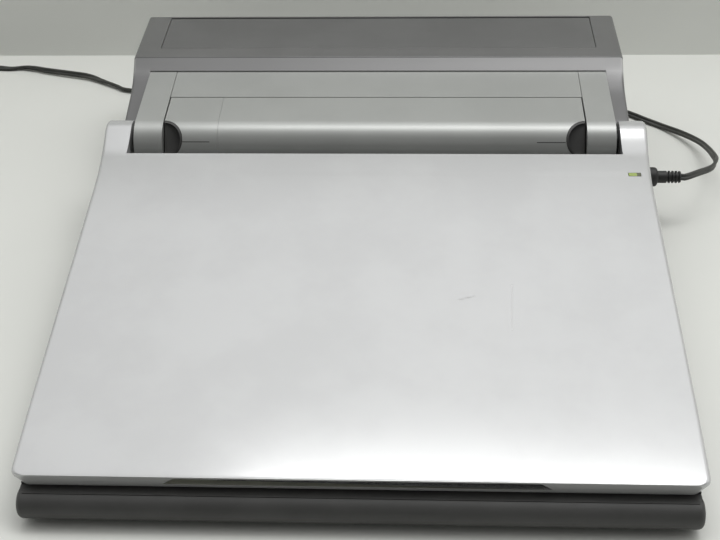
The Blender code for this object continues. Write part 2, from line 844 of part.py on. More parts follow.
eject_length_inside = 0.006
eject_travel = 0.003
eject_proud = 0.0035
make_drive()

# rubber feet under the tray
foot_radius = 0.008
foot_inset_x = 0.026
foot_front_y = 0.024
foot_rear_inset = 0.023
foot_rear_y = case_rear_y - foot_rear_inset
foot_draw_share = 0.8


def make_feet():
    corners = (("front_left", -1, foot_front_y), ("front_right", 1, foot_front_y),
               ("rear_left", -1, foot_rear_y), ("rear_right", 1, foot_rear_y))
    for name, side, y in corners:
        centre = (side * (case_half_width - foot_inset_x), y)
        profile = [(foot_radius * foot_draw_share, 0), (foot_radius, case_clearance / 3)]
        profile.append((foot_radius, case_clearance - gap))
        finish("foot_" + name, turned("z", centre, profile), rubber)


make_feet()

# scanner dock: two round-fronted arms, a cradle floor and back wall, and a panel between the arms
arm_width = 0.0213
arm_inner_x = arm_outer_x - arm_width
dock_floor = trough_height + gap
cradle_thickness = 0.0025
cradle_setback = 0.016
cradle_front_y = hinge_y - cradle_setback
back_wall_reach = 0.0296
back_wall_y = hinge_y + back_wall_reach
back_wall_thickness = 0.0025
panel_thickness_dock = 0.003
dock_centre = (hinge_y, hinge_height)


def dock_top(y):
    return hinge_height + dock_radius + dock_slope * (y - hinge_y)


def dock_outline(bottom, rear_y, radius):
    drop = math.degrees(math.asin((hinge_height - bottom) / radius))
    tangent = 90 + math.degrees(math.atan(dock_slope))
    points = arc(dock_centre, radius, 180 + drop, tangent, 12)
    top = hinge_height + radius + dock_slope * (rear_y - hinge_y)
    points.append((rear_y, top))
    points.append((rear_y, bottom))
    return points


def make_dock():
    arm = dock_outline(dock_floor, dock_rear_y, dock_radius)
    dock = finish("dock_frame", prism(arm, "x", arm_inner_x, arm_outer_x), silver_dock)
    fuse(dock, prism(arm, "x", -arm_outer_x, -arm_inner_x))
    middle_x = arm_inner_x + gap
    fuse(dock, block((-middle_x, cradle_front_y, dock_floor),
                     (middle_x, dock_rear_y, dock_floor + cradle_thickness)))
    fuse(dock, block((-middle_x, back_wall_y + gap, dock_floor + cradle_thickness / 2),
                     (middle_x, back_wall_y + gap + back_wall_thickness,
                      dock_top(back_wall_y) - panel_thickness_dock - gap)))
    bore = pin_radius + pin_clearance
    cut(dock, rod("x", dock_centre, bore, pin_inner_x - gap, arm_outer_x + overrun))
    cut(dock, rod("x", dock_centre, bore, -arm_outer_x - overrun, -pin_inner_x + gap))
    front_y = back_wall_y + gap
    half_x = arm_inner_x - gap
    outline = [(front_y, dock_top(front_y)), (dock_rear_y, dock_top(dock_rear_y)),
               (dock_rear_y, dock_top(dock_rear_y) - panel_thickness_dock),
               (front_y, dock_top(front_y) - panel_thickness_dock)]
    finish("dock_panel", prism(outline, "x", -half_x, half_x), silver_dock)


make_dock()

# hand scanner: a round-fronted cover and an end cap over a base plate, with the sensor and roller
scanner_half_x = arm_inner_x - 2 * gap
scanner_wall = 0.002
scanner_bottom = dock_floor + cradle_thickness + gap
scanner_rear_y = back_wall_y
cap_width = 0.0412
cap_seam_x = -scanner_half_x + cap_width
well_radius = 0.0144
well_depth = 0.008
well_tilt = 37
well_floor = 0.0015
scanner_base_thickness = 0.002
scanner_base_setback = 0.006
scan_window_setback = 0.001
scan_window_y = hinge_y - scan_window_setback
scan_window_width = 0.010
scan_window_inset = 0.0453
scan_window_half_x = scanner_half_x - scan_window_inset
scan_roller_reach = 0.017
scan_roller_y = hinge_y + scan_roller_reach
scan_roller_radius = 0.004
scan_roller_inset = 0.007
scan_roller_half_x = scan_window_half_x - scan_roller_inset


def well_mesh(side, radius, depth):
    # a half-round prism whose axis leans forward out of the cover's round front
    tilt = math.radians(well_tilt)
    outward = Vector((0, -math.cos(tilt), math.sin(tilt)))
    upward = Vector((0, math.sin(tilt), math.cos(tilt)))
    surface = Vector((0, hinge_y, hinge_height)) + outward * dock_radius
    inner = scanner_half_x + overrun
    points = [(inner, -radius), (inner, radius)]
    centre_x = scanner_half_x
    points += [(a, b) for a, b in arc((centre_x, 0), radius, 90, 270, 12)]
    loops = []
    for reach in (-depth, overrun):
        start = surface + outward * reach
        loops.append([tuple(start + upward * b + Vector((side * a, 0, 0))) for a, b in points])
    return loft(loops)


def make_scanner():
    outer = dock_outline(scanner_bottom, scanner_rear_y, dock_radius)
    inner = dock_outline(scanner_bottom - overrun, scanner_rear_y - scanner_wall, dock_radius - scanner_wall)
    cover = finish("scanner_cover", prism(outer, "x", cap_seam_x + gap, scanner_half_x), silver_dock)
    cut(cover, prism(inner, "x", cap_seam_x + gap + scanner_wall, scanner_half_x - scanner_wall))
    cut(cover, well_mesh(1, well_radius, well_depth + gap))
    cap = finish("scanner_end_cap", prism(outer, "x", -scanner_half_x, cap_seam_x), silver_dock)
    cut(cap, prism(inner, "x", -scanner_half_x + scanner_wall, cap_seam_x + overrun))
    cut(cap, well_mesh(-1, well_radius, well_depth + gap))
    for name, side in (("finger_well_left", -1), ("finger_well_right", 1)):
        well = finish(name, well_mesh(side, well_radius - gap, well_depth), dark)
        keep(well, prism(dock_outline(scanner_bottom, scanner_rear_y, dock_radius - gap), "x",
                         -scanner_half_x, scanner_half_x))
        cut(well, well_mesh(side, well_radius - gap - well_floor, well_depth - well_floor))
    base_front_y = hinge_y - dock_radius + scanner_base_setback
    base = finish("scanner_base", block(
        (cap_seam_x + gap + scanner_wall + gap, base_front_y, scanner_bottom),
        (scanner_half_x - scanner_wall - gap, scanner_rear_y - scanner_wall - gap,
         scanner_bottom + scanner_base_thickness)), dark)
    cut(base, block((-scan_window_half_x, scan_window_y - scan_window_width / 2, scanner_bottom - overrun),
                    (scan_window_half_x, scan_window_y + scan_window_width / 2, scanner_bottom + overrun)))
    cut(base, block((-scan_roller_half_x - gap * 3, scan_roller_y - scan_roller_radius - gap * 2,
                     scanner_bottom - overrun),
                    (scan_roller_half_x + gap * 3, scan_roller_y + scan_roller_radius + gap * 2,
                     scanner_bottom + overrun)))
    sensor_half_x = scan_window_half_x - gap
    sensor_half_y = scan_window_width / 2 - gap
    finish("scanner_sensor", block(
        (-sensor_half_x, scan_window_y - sensor_half_y, scanner_bottom + gap),
        (sensor_half_x, scan_window_y + sensor_half_y, hinge_height + sensor_half_y)), black)
    roller_centre = (scan_roller_y, scanner_bottom + scan_roller_radius + gap / 3)
    half_x = scan_roller_half_x
    finish("scanner_roller", rod("x", roller_centre, scan_roller_radius, -half_x, half_x), rubber,
           origin=(0, *roller_centre))


make_scanner()

# printer housing: the rear hump with scooped shoulders that run down beside the dock's arms
shoulder_reach = 0.0565
shoulder_front_y = ridge_y - shoulder_reach
shoulder_clearance = 0.0004
shoulder_inner_x = arm_outer_x + shoulder_clearance
hump_wall = 0.0025
hump_rear_rounding = 0.003
hump_side_rounding = 0.0025
# places down the shoulder from the ridge to its front, as shares of its length and height
shoulder_shares = ((0.0, 1.0), (0.143, 0.827), (0.265, 0.709), (0.442, 0.604),
                   (0.726, 0.512), (0.945, 0.442), (1.0, 0.414))
cover_inset_x = 0.0196
cover_half_x = hump_half_width - cover_inset_x
cover_setback = 0.015
cover_front_y = ridge_y + cover_setback
cover_hinge_setback = 0.0067
cover_hinge_y = case_rear_y - cover_hinge_setback
cover_hinge_radius = 0.0025
cover_stub_radius = 0.0012
cover_stub_length = 0.0025
cover_seam = 0.0004
boss_size = 0.005
face_foot_y = dock_rear_y + 2 * gap
face_foot_rise = 0.0008
face_foot_height = dock_top(dock_rear_y) + face_foot_rise
housing_bottom = seam_height + gap


def face_place(height):
    # depth of the hump's front face at a height: upright at its foot, then leaning back to the ridge
    lean = (height - face_foot_height) / (hump_height - face_foot_height)
    return face_foot_y + (ridge_y - face_foot_y) * max(lean, 0)


def make_housing():
    rear = arc((case_rear_y - hump_rear_rounding, hump_height - hump_rear_rounding),
               hump_rear_rounding, 90, 0, 4)
    rear.append((case_rear_y, housing_bottom))
    foot = [(face_foot_y, housing_bottom), (face_foot_y, trough_height + gap)]
    length = ridge_y - shoulder_front_y
    low = trough_height + gap
    rise = hump_height - low
    side_front = [(ridge_y - length * a, low + rise * b) for a, b in reversed(shoulder_shares)]
    middle_front = [(face_place(height), height) for _, height in side_front]
    side = foot + [(shoulder_front_y, low)] + side_front + rear
    middle = foot + [(face_foot_y, low + hump_wall)] + middle_front + rear
    outer = foot[:1] + [(face_foot_y, face_foot_height), (ridge_y, hump_height)] + rear
    half = []
    for step in range(4):
        angle = math.pi / 2 * step / 3
        depth = hump_side_rounding * (1 - math.sin(angle))
        reach = hump_half_width - hump_side_rounding * (1 - math.cos(angle))
        half.append((reach, inset(side, depth)))
    half.append((shoulder_inner_x, side))
    half.append((shoulder_inner_x - gap, middle))
    loops = [[(-reach, a, b) for a, b in outline] for reach, outline in half]
    loops += [[(reach, a, b) for a, b in outline] for reach, outline in reversed(half)]
    body = loft(loops)
    bmesh.ops.triangulate(body, faces=body.faces)
    housing = finish("printer_housing", body, grey)
    inner = inset(outer, hump_wall)
    inner[0] = (inner[0][0], housing_bottom - overrun)
    inner[-1] = (inner[-1][0], housing_bottom - overrun)
    inside = hump_half_width - hump_wall
    cut(housing, prism(inner, "x", -inside, inside))
    boss_low = hump_height - hump_wall - boss_size
    for side in (-1, 1):
        ends = sorted((side * (cover_half_x - cover_seam), side * (cover_half_x + boss_size)))
        fuse(housing, block((ends[0], cover_hinge_y - boss_size, boss_low),
                            (ends[1], cover_hinge_y + boss_size / 2, hump_height - hump_wall / 2)))
    rear_edge_y = cover_hinge_y + cover_hinge_radius + cover_seam
    half_x = cover_half_x + cover_seam
    cut(housing, block((-half_x, cover_front_y - cover_seam, boss_low - overrun),
                       (half_x, rear_edge_y, hump_height + overrun)))
    hinge_level = hump_height - cover_hinge_radius
    reach = cover_half_x + cover_stub_length + gap
    cut(housing, rod("x", (cover_hinge_y, hinge_level), cover_stub_radius + gap, -reach, reach))
    return housing


def make_cover():
    hinge_level = hump_height - cover_hinge_radius
    outline = [(cover_front_y, hump_height), (cover_front_y, hinge_level)]
    outline += [(cover_hinge_y - cover_hinge_radius, hinge_level)]
    outline += arc((cover_hinge_y, hinge_level), cover_hinge_radius, 210, 450, 12)
    place = (0, cover_hinge_y, hinge_level)
    cover = finish("printer_cover", prism(outline, "x", -cover_half_x, cover_half_x), dark, origin=place)
    reach = cover_half_x + cover_stub_length
    stub = rod("x", (0, 0), cover_stub_radius, -reach, reach, sides_few)
    fuse(cover, stub).modifiers[-1].object.location = place


make_housing()
make_cover()

# printer mechanism: a sheet frame, the platen and its gears, the carriage on its rod, belt and lever
frame_inset_x = 0.043
frame_half_x = hump_half_width - frame_inset_x
sheet = 0.0016
frame_setback = 0.0075
frame_depth = 0.0615
frame_rear_y = case_rear_y - frame_setback
frame_front_y = frame_rear_y - frame_depth
frame_drop = 0.0103
frame_top = hump_height - frame_drop
platen_setback = 0.027
platen_drop = 0.0263
platen_y = case_rear_y - platen_setback
platen_height = hump_height - platen_drop
frame_shelf_drop = 0.036
frame_shelf = platen_height - frame_shelf_drop
platen_radius = 0.011
platen_inset_x = 0.032
platen_half_x = frame_half_x - platen_inset_x
shaft_radius = 0.003
rod_setback = 0.028
rod_drop = 0.008
rod_y = platen_y - rod_setback
rod_height = platen_height - rod_drop
gear_module = 0.0008
platen_teeth = 32
pinion_teeth = 12
pinion_bearing = 45
gear_thickness = 0.004
gear_gap = 0.0015
motor_radius = 0.0105
motor_length = 0.020
pinion_shaft_radius = 0.0015
carriage_half_x = 0.018
carriage_front_reach = 0.008
carriage_rear_reach = 0.011
carriage_half_height = 0.008
carriage_front_y = rod_y - carriage_front_reach
carriage_rear_y = rod_y + carriage_rear_reach
carriage_low = rod_height - carriage_half_height
carriage_high = rod_height + carriage_half_height
cassette_half_x = 0.030
cassette_height = 0.014
cassette_top = carriage_high + cassette_height
head_thickness = 0.0033
head_half_x = 0.006
head_low = platen_height - head_half_x
head_high = platen_height + head_half_x
belt_inset_x = 0.015
belt_setback = 0.004
belt_drop = 0.0092
belt_x = frame_half_x - belt_inset_x
belt_y = rod_y - belt_setback
belt_low = carriage_low - belt_drop
belt_height = 0.004
pulley_radius = 0.0063
belt_thickness = 0.0009
pulley_flange = 0.0006
drive_motor_radius = 0.0085
belt_clamp_half_x = 0.005
belt_clamp_half_y = 0.0020
lever_setback = 0.012
lever_drop = 0.004
lever_y = platen_y - lever_setback
lever_height = platen_height - lever_drop
lever_reach = 0.022
lever_width = 0.007
lever_thickness = 0.0025
lever_lean = 20
centre_distance = gear_module * (platen_teeth + pinion_teeth) / 2
pinion_y = platen_y - centre_distance * math.cos(math.radians(pinion_bearing))
pinion_height = platen_height - centre_distance * math.sin(math.radians(pinion_bearing))


def make_mechanism():
    frame = finish("printer_frame", block(
        (-frame_half_x + sheet / 2, frame_front_y + sheet / 2, frame_shelf),
        (frame_half_x - sheet / 2, frame_rear_y - sheet / 2, frame_shelf + sheet)), steel)
    floor = case_clearance + case_wall + gap
    for side in (-1, 1):
        ends = sorted((side * (frame_half_x - sheet), side * frame_half_x))
        fuse(frame, block((ends[0], frame_front_y, floor), (ends[1], frame_rear_y, frame_top)))
    fuse(frame, rod("z", (belt_x, belt_y), pulley_radius - gap, frame_shelf + sheet / 2,
                    belt_low + belt_height))
    fuse(frame, rod("x", (lever_y, lever_height), shaft_radius - gap * 3,
                    -frame_half_x - gap - lever_thickness, -frame_half_x + sheet / 2))
    reach = frame_half_x + overrun
    cut(frame, rod("x", (platen_y, platen_height), shaft_radius + gap, -reach, reach))
    cut(frame, rod("x", (rod_y, rod_height), shaft_radius + gap, -reach, reach))
    cut(frame, rod("x", (pinion_y, pinion_height), pinion_shaft_radius + gap, frame_half_x - overrun, reach))
    axis = (0, platen_y, platen_height)
    roller = finish("platen_roller", rod(
        "x", axis[1:], platen_radius, -platen_half_x, platen_half_x, sides_round), rubber, origin=axis)
    bore = rod("x", (0, 0), shaft_radius + gap, -platen_half_x - overrun, platen_half_x + overrun)
    cut(roller, bore).modifiers[-1].object.location = axis
    gear_low = frame_half_x + gear_gap
    gear_high = gear_low + gear_thickness
    finish("platen_shaft", rod("x", axis[1:], shaft_radius, -frame_half_x - gear_gap, gear_high + gear_gap),
           steel, origin=axis)
    wheel = finish("platen_gear", prism(gear_outline(axis[1:], platen_teeth, gear_module, 0.5), "x",
                                        gear_low, gear_high), black, origin=axis)
    bore = rod("x", (0, 0), shaft_radius + gap, gear_low - overrun, gear_high + overrun)
    cut(wheel, bore).modifiers[-1].object.location = axis
    axis = (0, pinion_y, pinion_height)
    pinion = finish("feed_pinion", prism(gear_outline(axis[1:], pinion_teeth, gear_module, 0.5), "x",
                                         gear_low, gear_high), steel, origin=axis)
    motor_high = frame_half_x - sheet - gap
    stem = rod("x", (0, 0), pinion_shaft_radius, motor_high - motor_length / 3,
               gear_high - gear_thickness / 2, sides_few)
    fuse(pinion, stem).modifiers[-1].object.location = axis
    motor_low = motor_high - motor_length
    motor = finish("feed_motor", rod("x", axis[1:], motor_radius, motor_low, motor_high), steel)
    cut(motor, rod("x", axis[1:], pinion_shaft_radius + gap, motor_high - motor_length / 2,
                   motor_high + overrun))
    rod_end = frame_half_x + gap
    finish("carriage_rod", rod("x", (rod_y, rod_height), shaft_radius, -rod_end, rod_end), steel)
    carriage = finish("print_carriage", block((-carriage_half_x, carriage_front_y, carriage_low),
                                              (carriage_half_x, carriage_rear_y, carriage_high)), black)
    cut(carriage, rod("x", (rod_y, rod_height), shaft_radius + gap, -carriage_half_x - overrun,
                      carriage_half_x + overrun))
    head_rear_y = platen_y - platen_radius - gap
    head_low_y = head_rear_y - head_thickness
    finish("thermal_head", block((-head_half_x, head_low_y, head_low),
                                 (head_half_x, head_rear_y, head_high)), steel)
    fuse(carriage, block((-head_half_x, carriage_rear_y - overrun, carriage_low),
                         (head_half_x, head_low_y - gap, carriage_high)))
    clamp_y = belt_y + pulley_radius
    fuse(carriage, block((-belt_clamp_half_x, clamp_y - belt_clamp_half_y, belt_low + belt_height + gap),
                         (belt_clamp_half_x, clamp_y + belt_clamp_half_y, carriage_low + overrun)))
    finish("ribbon_cassette", block((-cassette_half_x, carriage_front_y, carriage_high + gap),
                                    (cassette_half_x, head_low_y - gap, cassette_top)), dark)


def make_drive_train():
    shelf = frame_shelf + sheet + gap
    motor_top = belt_low - gap * 2
    motor = finish("carriage_motor", rod(
        "z", (-belt_x, belt_y), drive_motor_radius, shelf, motor_top), steel)
    cut(motor, rod("z", (-belt_x, belt_y), pinion_shaft_radius + gap, shelf + overrun, motor_top + overrun))
    place = (-belt_x, belt_y, belt_low)
    profile = [(pinion_shaft_radius, shelf + overrun + gap), (pinion_shaft_radius, belt_low - gap),
               (pulley_radius - gap, belt_low - gap), (pulley_radius - gap, belt_low + belt_height)]
    finish("drive_pulley", turned("z", (-belt_x, belt_y), profile), steel, origin=place)
    ring = arc((belt_x, belt_y), pulley_radius + belt_thickness, -90, 90, 12)
    ring += arc((-belt_x, belt_y), pulley_radius + belt_thickness, 90, 270, 12)
    belt = finish("timing_belt", prism(ring, "z", belt_low, belt_low + belt_height), rubber)
    hole = arc((belt_x, belt_y), pulley_radius, -90, 90, 12)
    hole += arc((-belt_x, belt_y), pulley_radius, 90, 270, 12)
    cut(belt, prism(hole, "z", belt_low - overrun, belt_low + belt_height + overrun))


def make_lever():
    lean = math.radians(90 + lever_lean)
    along_lever = Vector((math.cos(lean), math.sin(lean)))
    tip = Vector((lever_y, lever_height)) + along_lever * lever_reach
    foot = (lever_y, lever_height)
    angle = math.degrees(lean)
    outline = arc(tip, lever_width / 2, angle - 90, angle + 90, 8)
    outline += arc(foot, lever_width / 2, angle + 90, angle + 270, 8)
    high_x = -frame_half_x - gap
    place = (0, lever_y, lever_height)
    lever = finish("paper_release_lever", prism(outline, "x", high_x - lever_thickness, high_x),
                   keycap, origin=place)
    bore = rod("x", (0, 0), shaft_radius - gap * 2, high_x - lever_thickness - overrun, high_x + overrun)
    cut(lever, bore).modifiers[-1].object.location = place


make_mechanism()
make_drive_train()
make_lever()

# power lead: its plug, its free run, a tied coil of the spare length, and a small plug-in adapter
cord_length = 1.800
cord_radius = 0.0020
plug_head_radius = 0.00735
plug_head_length = 0.0153
plug_head_end_x = nose_half_width + plug_head_length
plug_neck_radius = 0.0046
plug_neck_length = 0.018
plug_end_x = plug_head_end_x + plug_neck_length
plug_barrel_radius = 0.00275
plug_barrel_length = 0.0089
plug_barrel_start_x = nose_half_width - plug_barrel_length
plug_rib_depth = 0.0012
plug_rib_pitch = 0.0026
plug_rib_slot = 0.0010
plug_rib_start_share = 0.4
plug_rib_count = 4
# route of the lead over the table, chosen by hand from where it is seen, as real distances
# counted from the case's two rear corners, so that it keeps clear of them
route_from_right_corner = [
    (0.0491, -0.1516, 0.0365), (0.0624, -0.1376, 0.0320), (0.0695, -0.1204, 0.0270),
    (0.0714, -0.1053, 0.0220), (0.0712, -0.0855, 0.0160), (0.0682, -0.0651, 0.0100),
    (0.0591, -0.0469, 0.0058), (0.0452, -0.0296, 0.0022), (0.0324, -0.0195, 0.0022),
    (0.0170, -0.0067, 0.0021), (-0.0080, 0.0103, 0.0021), (-0.0560, 0.0213, 0.0021),
    (-0.1360, 0.0273, 0.0021),
]
route_from_left_corner = [
    (0.1658, 0.0313, 0.0021), (0.0755, 0.0273, 0.0021), (0.0052, 0.0275, 0.0021),
    (-0.0342, 0.0329, 0.0021), (-0.0441, 0.0384, 0.0022), (-0.0543, 0.0445, 0.0026),
    (-0.0674, 0.0522, 0.0030), (-0.0792, 0.0567, 0.0033), (-0.0936, 0.0605, 0.0033),
    (-0.1185, 0.0674, 0.0028), (-0.1410, 0.0748, 0.0023), (-0.1530, 0.0742, 0.0021),
    (-0.1672, 0.0746, 0.0021),
]
coil_reach_x = 0.2370
coil_reach_y = 0.03785
coil_centre = (-case_half_width - coil_reach_x, case_rear_y - middle_y + coil_reach_y)
coil_outer_radius = 0.0368
coil_pitch = 0.0046
coil_layer_turns = 1.875
coil_swap_turns = 0.5
coil_turns = coil_layer_turns * 2 + coil_swap_turns
coil_inner_radius = coil_outer_radius - coil_pitch * coil_turns / 2
lead_in_lengths = (0.022, 0.010, 0)
coil_lift = 0.0015
coil_layer_rise = 0.0046
coil_start_angle = 90
route_step = 0.012
coil_points_per_turn = 24
route_parts = 16
tie_width = 0.006
tie_thickness = 0.0010
tie_clearance = 0.0004
tie_angle = 20
adapter_size = (0.034, 0.048, 0.030)
adapter_rounding = 0.004
blade_length = 0.016
blade_width = 0.0063
blade_thickness = 0.0015
blade_spread = 0.0127


def coil_points():
    low = cord_radius + coil_lift
    count = int(round(coil_turns * coil_points_per_turn))
    points = []
    for step in range(count + 1):
        turns = coil_turns * step / count
        angle = math.radians(coil_start_angle) + 2 * math.pi * turns
        radius = coil_inner_radius + coil_pitch * abs(turns - coil_turns / 2)
        share = min(max((turns - coil_layer_turns) / coil_swap_turns, 0), 1)
        height = low + coil_layer_rise * eased(share)
        x = coil_centre[0] + radius * math.cos(angle)
        y = coil_centre[1] + radius * math.sin(angle)
        points.append(Vector((x, y, height)))
    return points


def straight_ends(points):
    first = (points[0] - points[1]).normalized() * cord_radius * 2
    last = (points[-1] - points[-2]).normalized() * cord_radius * 2
    return [points[0] + first] + points + [points[-1] + last]


def smooth_route(points, step):
    # a smooth run through the points, evenly spaced, whose first and last spans stay straight
    fine = []
    for index in range(1, len(points) - 2):
        a, b, c, d = points[index - 1:index + 3]
        for part in range(route_parts):
            t = part / route_parts
            fine.append((2 * b + (c - a) * t + (2 * a - 5 * b + 4 * c - d) * t * t
                         + (3 * b - a - 3 * c + d) * t ** 3) / 2)
    fine.append(points[-2])
    lengths = np.array([0] + [(b - a).length for a, b in zip(fine, fine[1:])]).cumsum()
    count = max(2, int(round(lengths[-1] / step)))
    even = [points[0]]
    for index in range(count + 1):
        where = lengths[-1] * index / count
        after = min(int(np.searchsorted(lengths, where)), len(fine) - 1)
        before = max(after - 1, 0)
        span = lengths[after] - lengths[before]
        share = (where - lengths[before]) / span if span > 0 else 0
        even.append(fine[before].lerp(fine[after], float(share)))
    even.append(points[-1])
    return even, sum((b - a).length for a, b in zip(even, even[1:]))


def tube(name, points, resolution, look=black):
    curve = bpy.data.curves.new(name, "CURVE")
    curve.dimensions = "3D"
    curve.bevel_depth = cord_radius
    curve.bevel_resolution = resolution
    curve.use_fill_caps = True
    spline = curve.splines.new("POLY")
    spline.points.add(len(points) - 1)
    for target, point in zip(spline.points, points):
        target.co = (*point, 1)
        target.radius = 1
    curve.materials.append(look)
    item = bpy.data.objects.new(name, curve)
    scene_collection.objects.link(item)
    return item


def least_gap(points):
    # distance between the tube's surfaces at points more than half a loop apart
    places = np.array([tuple(point) for point in points])
    least = 1
    apart = coil_points_per_turn // 2
    for index in range(len(places) - apart):
        away = np.linalg.norm(places[index + apart:] - places[index], axis=1).min()
        least = min(least, float(away))
    return least - 2 * cord_radius


def make_lead():
    plug_y = jack_y - middle_y
    profile = [(plug_barrel_radius, plug_barrel_start_x), (plug_barrel_radius, nose_half_width + gap),
               (plug_head_radius, nose_half_width + gap), (plug_head_radius, plug_head_end_x),
               (plug_neck_radius, plug_head_end_x)]
    rib_start = plug_head_end_x + (plug_end_x - plug_head_end_x) * plug_rib_start_share
    for rib in range(plug_rib_count):
        reach = rib_start + rib * plug_rib_pitch
        profile += [(plug_neck_radius, reach), (plug_neck_radius - plug_rib_depth, reach),
                    (plug_neck_radius - plug_rib_depth, reach + plug_rib_slot),
                    (plug_neck_radius, reach + plug_rib_slot)]
    profile.append((plug_neck_radius, plug_end_x - gap))
    plug = finish("power_plug", turned("x", (plug_y, jack_height), profile), black, None)
    cut(plug, rod("x", (plug_y, jack_height), centre_pin_radius + gap, plug_barrel_start_x - overrun,
                  nose_half_width, sides_few))
    loops = straight_ends(coil_points())
    away = (loops[0] - loops[1]).normalized()
    joint = loops[0] + away * gap
    lead_in = [joint + away * reach for reach in lead_in_lengths]
    start = Vector((plug_end_x, plug_y, jack_height))
    places = [start, start + Vector((cord_radius * 2, 0, 0))]
    rear_y = case_rear_y - middle_y
    stretches = ((case_half_width, route_from_right_corner), (-case_half_width, route_from_left_corner))
    for corner_x, stretch in stretches:
        places += [Vector((corner_x + x, rear_y + y, z)) for x, y, z in stretch]
    run, run_length = smooth_route(places + lead_in, route_step)
    tube("power_lead", run, 2)
    tube("lead_coil", loops, 1)
    coil_length = sum((b - a).length for a, b in zip(loops, loops[1:]))
    print("least gap between the coil's loops, mm:", round(least_gap(loops) * 1000, 3))
    print("free run, mm:", round(run_length * 1000, 1), " coil, mm:", round(coil_length * 1000, 1))
    make_adapter(loops, run_length + coil_length)
    make_tie()


def make_adapter(loops, used):
    away = (loops[-1] - loops[-2]).normalized()
    start = loops[-1] + away * gap
    spare = cord_length - used
    print("end run, mm:", round(spare * 1000, 1))
    rise = adapter_size[2] / 2 - start.z
    inlet_y = start.y - math.sqrt(spare * spare - rise * rise)
    inlet = Vector((start.x, inlet_y, adapter_size[2] / 2))
    level = start.z
    places = [start, start + away * cord_radius * 2,
              Vector((start.x, (start.y + inlet_y) / 2, (level + inlet.z) / 2)),
              inlet + Vector((0, cord_radius * 4, 0)), inlet + Vector((0, gap, 0))]
    end_run, end_length = smooth_route(places, route_step)
    print("end run as laid, mm:", round(end_length * 1000, 1))
    tube("lead_end", end_run, 2)
    half = adapter_size[0] / 2
    outline = [(inlet.x - half, 0), (inlet.x + half, 0), (inlet.x + half, adapter_size[2]),
               (inlet.x - half, adapter_size[2])]
    rear_y = inlet_y - adapter_size[1]
    finish("power_adapter", rounded_prism(outline, "y", rear_y, inlet_y, adapter_rounding), black, None)
    for name, side in (("adapter_blade_left", -1), ("adapter_blade_right", 1)):
        x = inlet.x + side * blade_spread / 2
        finish(name, block((x - blade_thickness / 2, rear_y - blade_length, inlet.z - blade_width / 2),
                           (x + blade_thickness / 2, rear_y - gap, inlet.z + blade_width / 2)), steel, None)


def make_tie():
    low = coil_lift - tie_clearance
    high = coil_lift + 2 * cord_radius + coil_layer_rise + tie_clearance
    inner = coil_inner_radius - cord_radius - tie_clearance
    outer = coil_outer_radius + cord_radius + tie_clearance
    half = tie_width / 2
    outline = [(inner - tie_thickness, low - tie_thickness), (outer + tie_thickness, low - tie_thickness),
               (outer + tie_thickness, high + tie_thickness), (inner - tie_thickness, high + tie_thickness)]
    hole = [(inner, low), (outer, low), (outer, high), (inner, high)]
    tie = finish("lead_tie", prism(outline, "y", -half, half), black, None)
    cut(tie, prism(hole, "y", -half - overrun, half + overrun))
    turn = Matrix.Rotation(math.radians(tie_angle), 4, "Z")
    place = Matrix.Translation((coil_centre[0], coil_centre[1], 0))
    tie.matrix_world = place @ turn
    tie.modifiers[-1].object.matrix_world = place @ turn


make_lead()
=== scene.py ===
import math

import bmesh
import bpy
import numpy as np
from mathutils import Matrix, Vector


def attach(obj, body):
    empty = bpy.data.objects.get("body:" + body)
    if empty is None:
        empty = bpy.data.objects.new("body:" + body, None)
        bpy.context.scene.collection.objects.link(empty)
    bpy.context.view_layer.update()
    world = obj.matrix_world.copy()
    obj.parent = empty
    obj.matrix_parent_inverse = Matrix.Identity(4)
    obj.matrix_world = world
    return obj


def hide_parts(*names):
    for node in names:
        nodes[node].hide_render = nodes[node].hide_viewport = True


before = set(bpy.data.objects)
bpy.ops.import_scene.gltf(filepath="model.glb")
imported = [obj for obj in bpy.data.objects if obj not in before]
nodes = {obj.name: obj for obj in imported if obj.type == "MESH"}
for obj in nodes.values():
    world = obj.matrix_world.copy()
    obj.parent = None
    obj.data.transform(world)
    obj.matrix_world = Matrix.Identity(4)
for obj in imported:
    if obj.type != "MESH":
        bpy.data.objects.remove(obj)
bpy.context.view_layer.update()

# Metres. Depths count from the lid's front edge, and machinePlace centres them over the origin.
machineSettings = {
    "middleDepth": 0.22635,
    "hinge": (0.317, 0.0601),
    "lidFront": (0.00124, 0.02494),
    "halfWidth": 0.200,
    "caseHalfWidth": 0.196,
    "seam": 0.0003,
    "overrun": 0.004,
}
hinge = machineSettings["hinge"]
frontDepth, frontLevel = machineSettings["lidFront"]
lidRise = math.atan((hinge[1] - frontLevel) / hinge[0])
lidLength = (hinge[0] - frontDepth) / math.cos(lidRise)
halfWidth = machineSettings["halfWidth"]
seam = machineSettings["seam"]
overrun = machineSettings["overrun"]
machinePlace = Matrix.Translation((0, -machineSettings["middleDepth"], 0))
deckPlace = machinePlace @ Matrix.Translation((0, *hinge)) @ Matrix.Rotation(lidRise, 4, "X")

cameraSettings = {
    "place": (0.03506, -0.69616, 0.55573),
    "right": (0.99880386, 0.04235235, -0.02443602),
    "down": (0.00686882, -0.61632869, -0.78745905),
    "forward": (-0.04841136, 0.7863493, -0.61588239),
    "sensor": 36,
    "lens": 61.135,
    "shift": -3 / 720,
    "clip": (0.05, 40),
}


def pick(settings, names):
    return [settings[name] for name in names.split()]


def added(name, data):
    item = bpy.data.objects.new(name, data)
    bpy.context.scene.collection.objects.link(item)
    return item


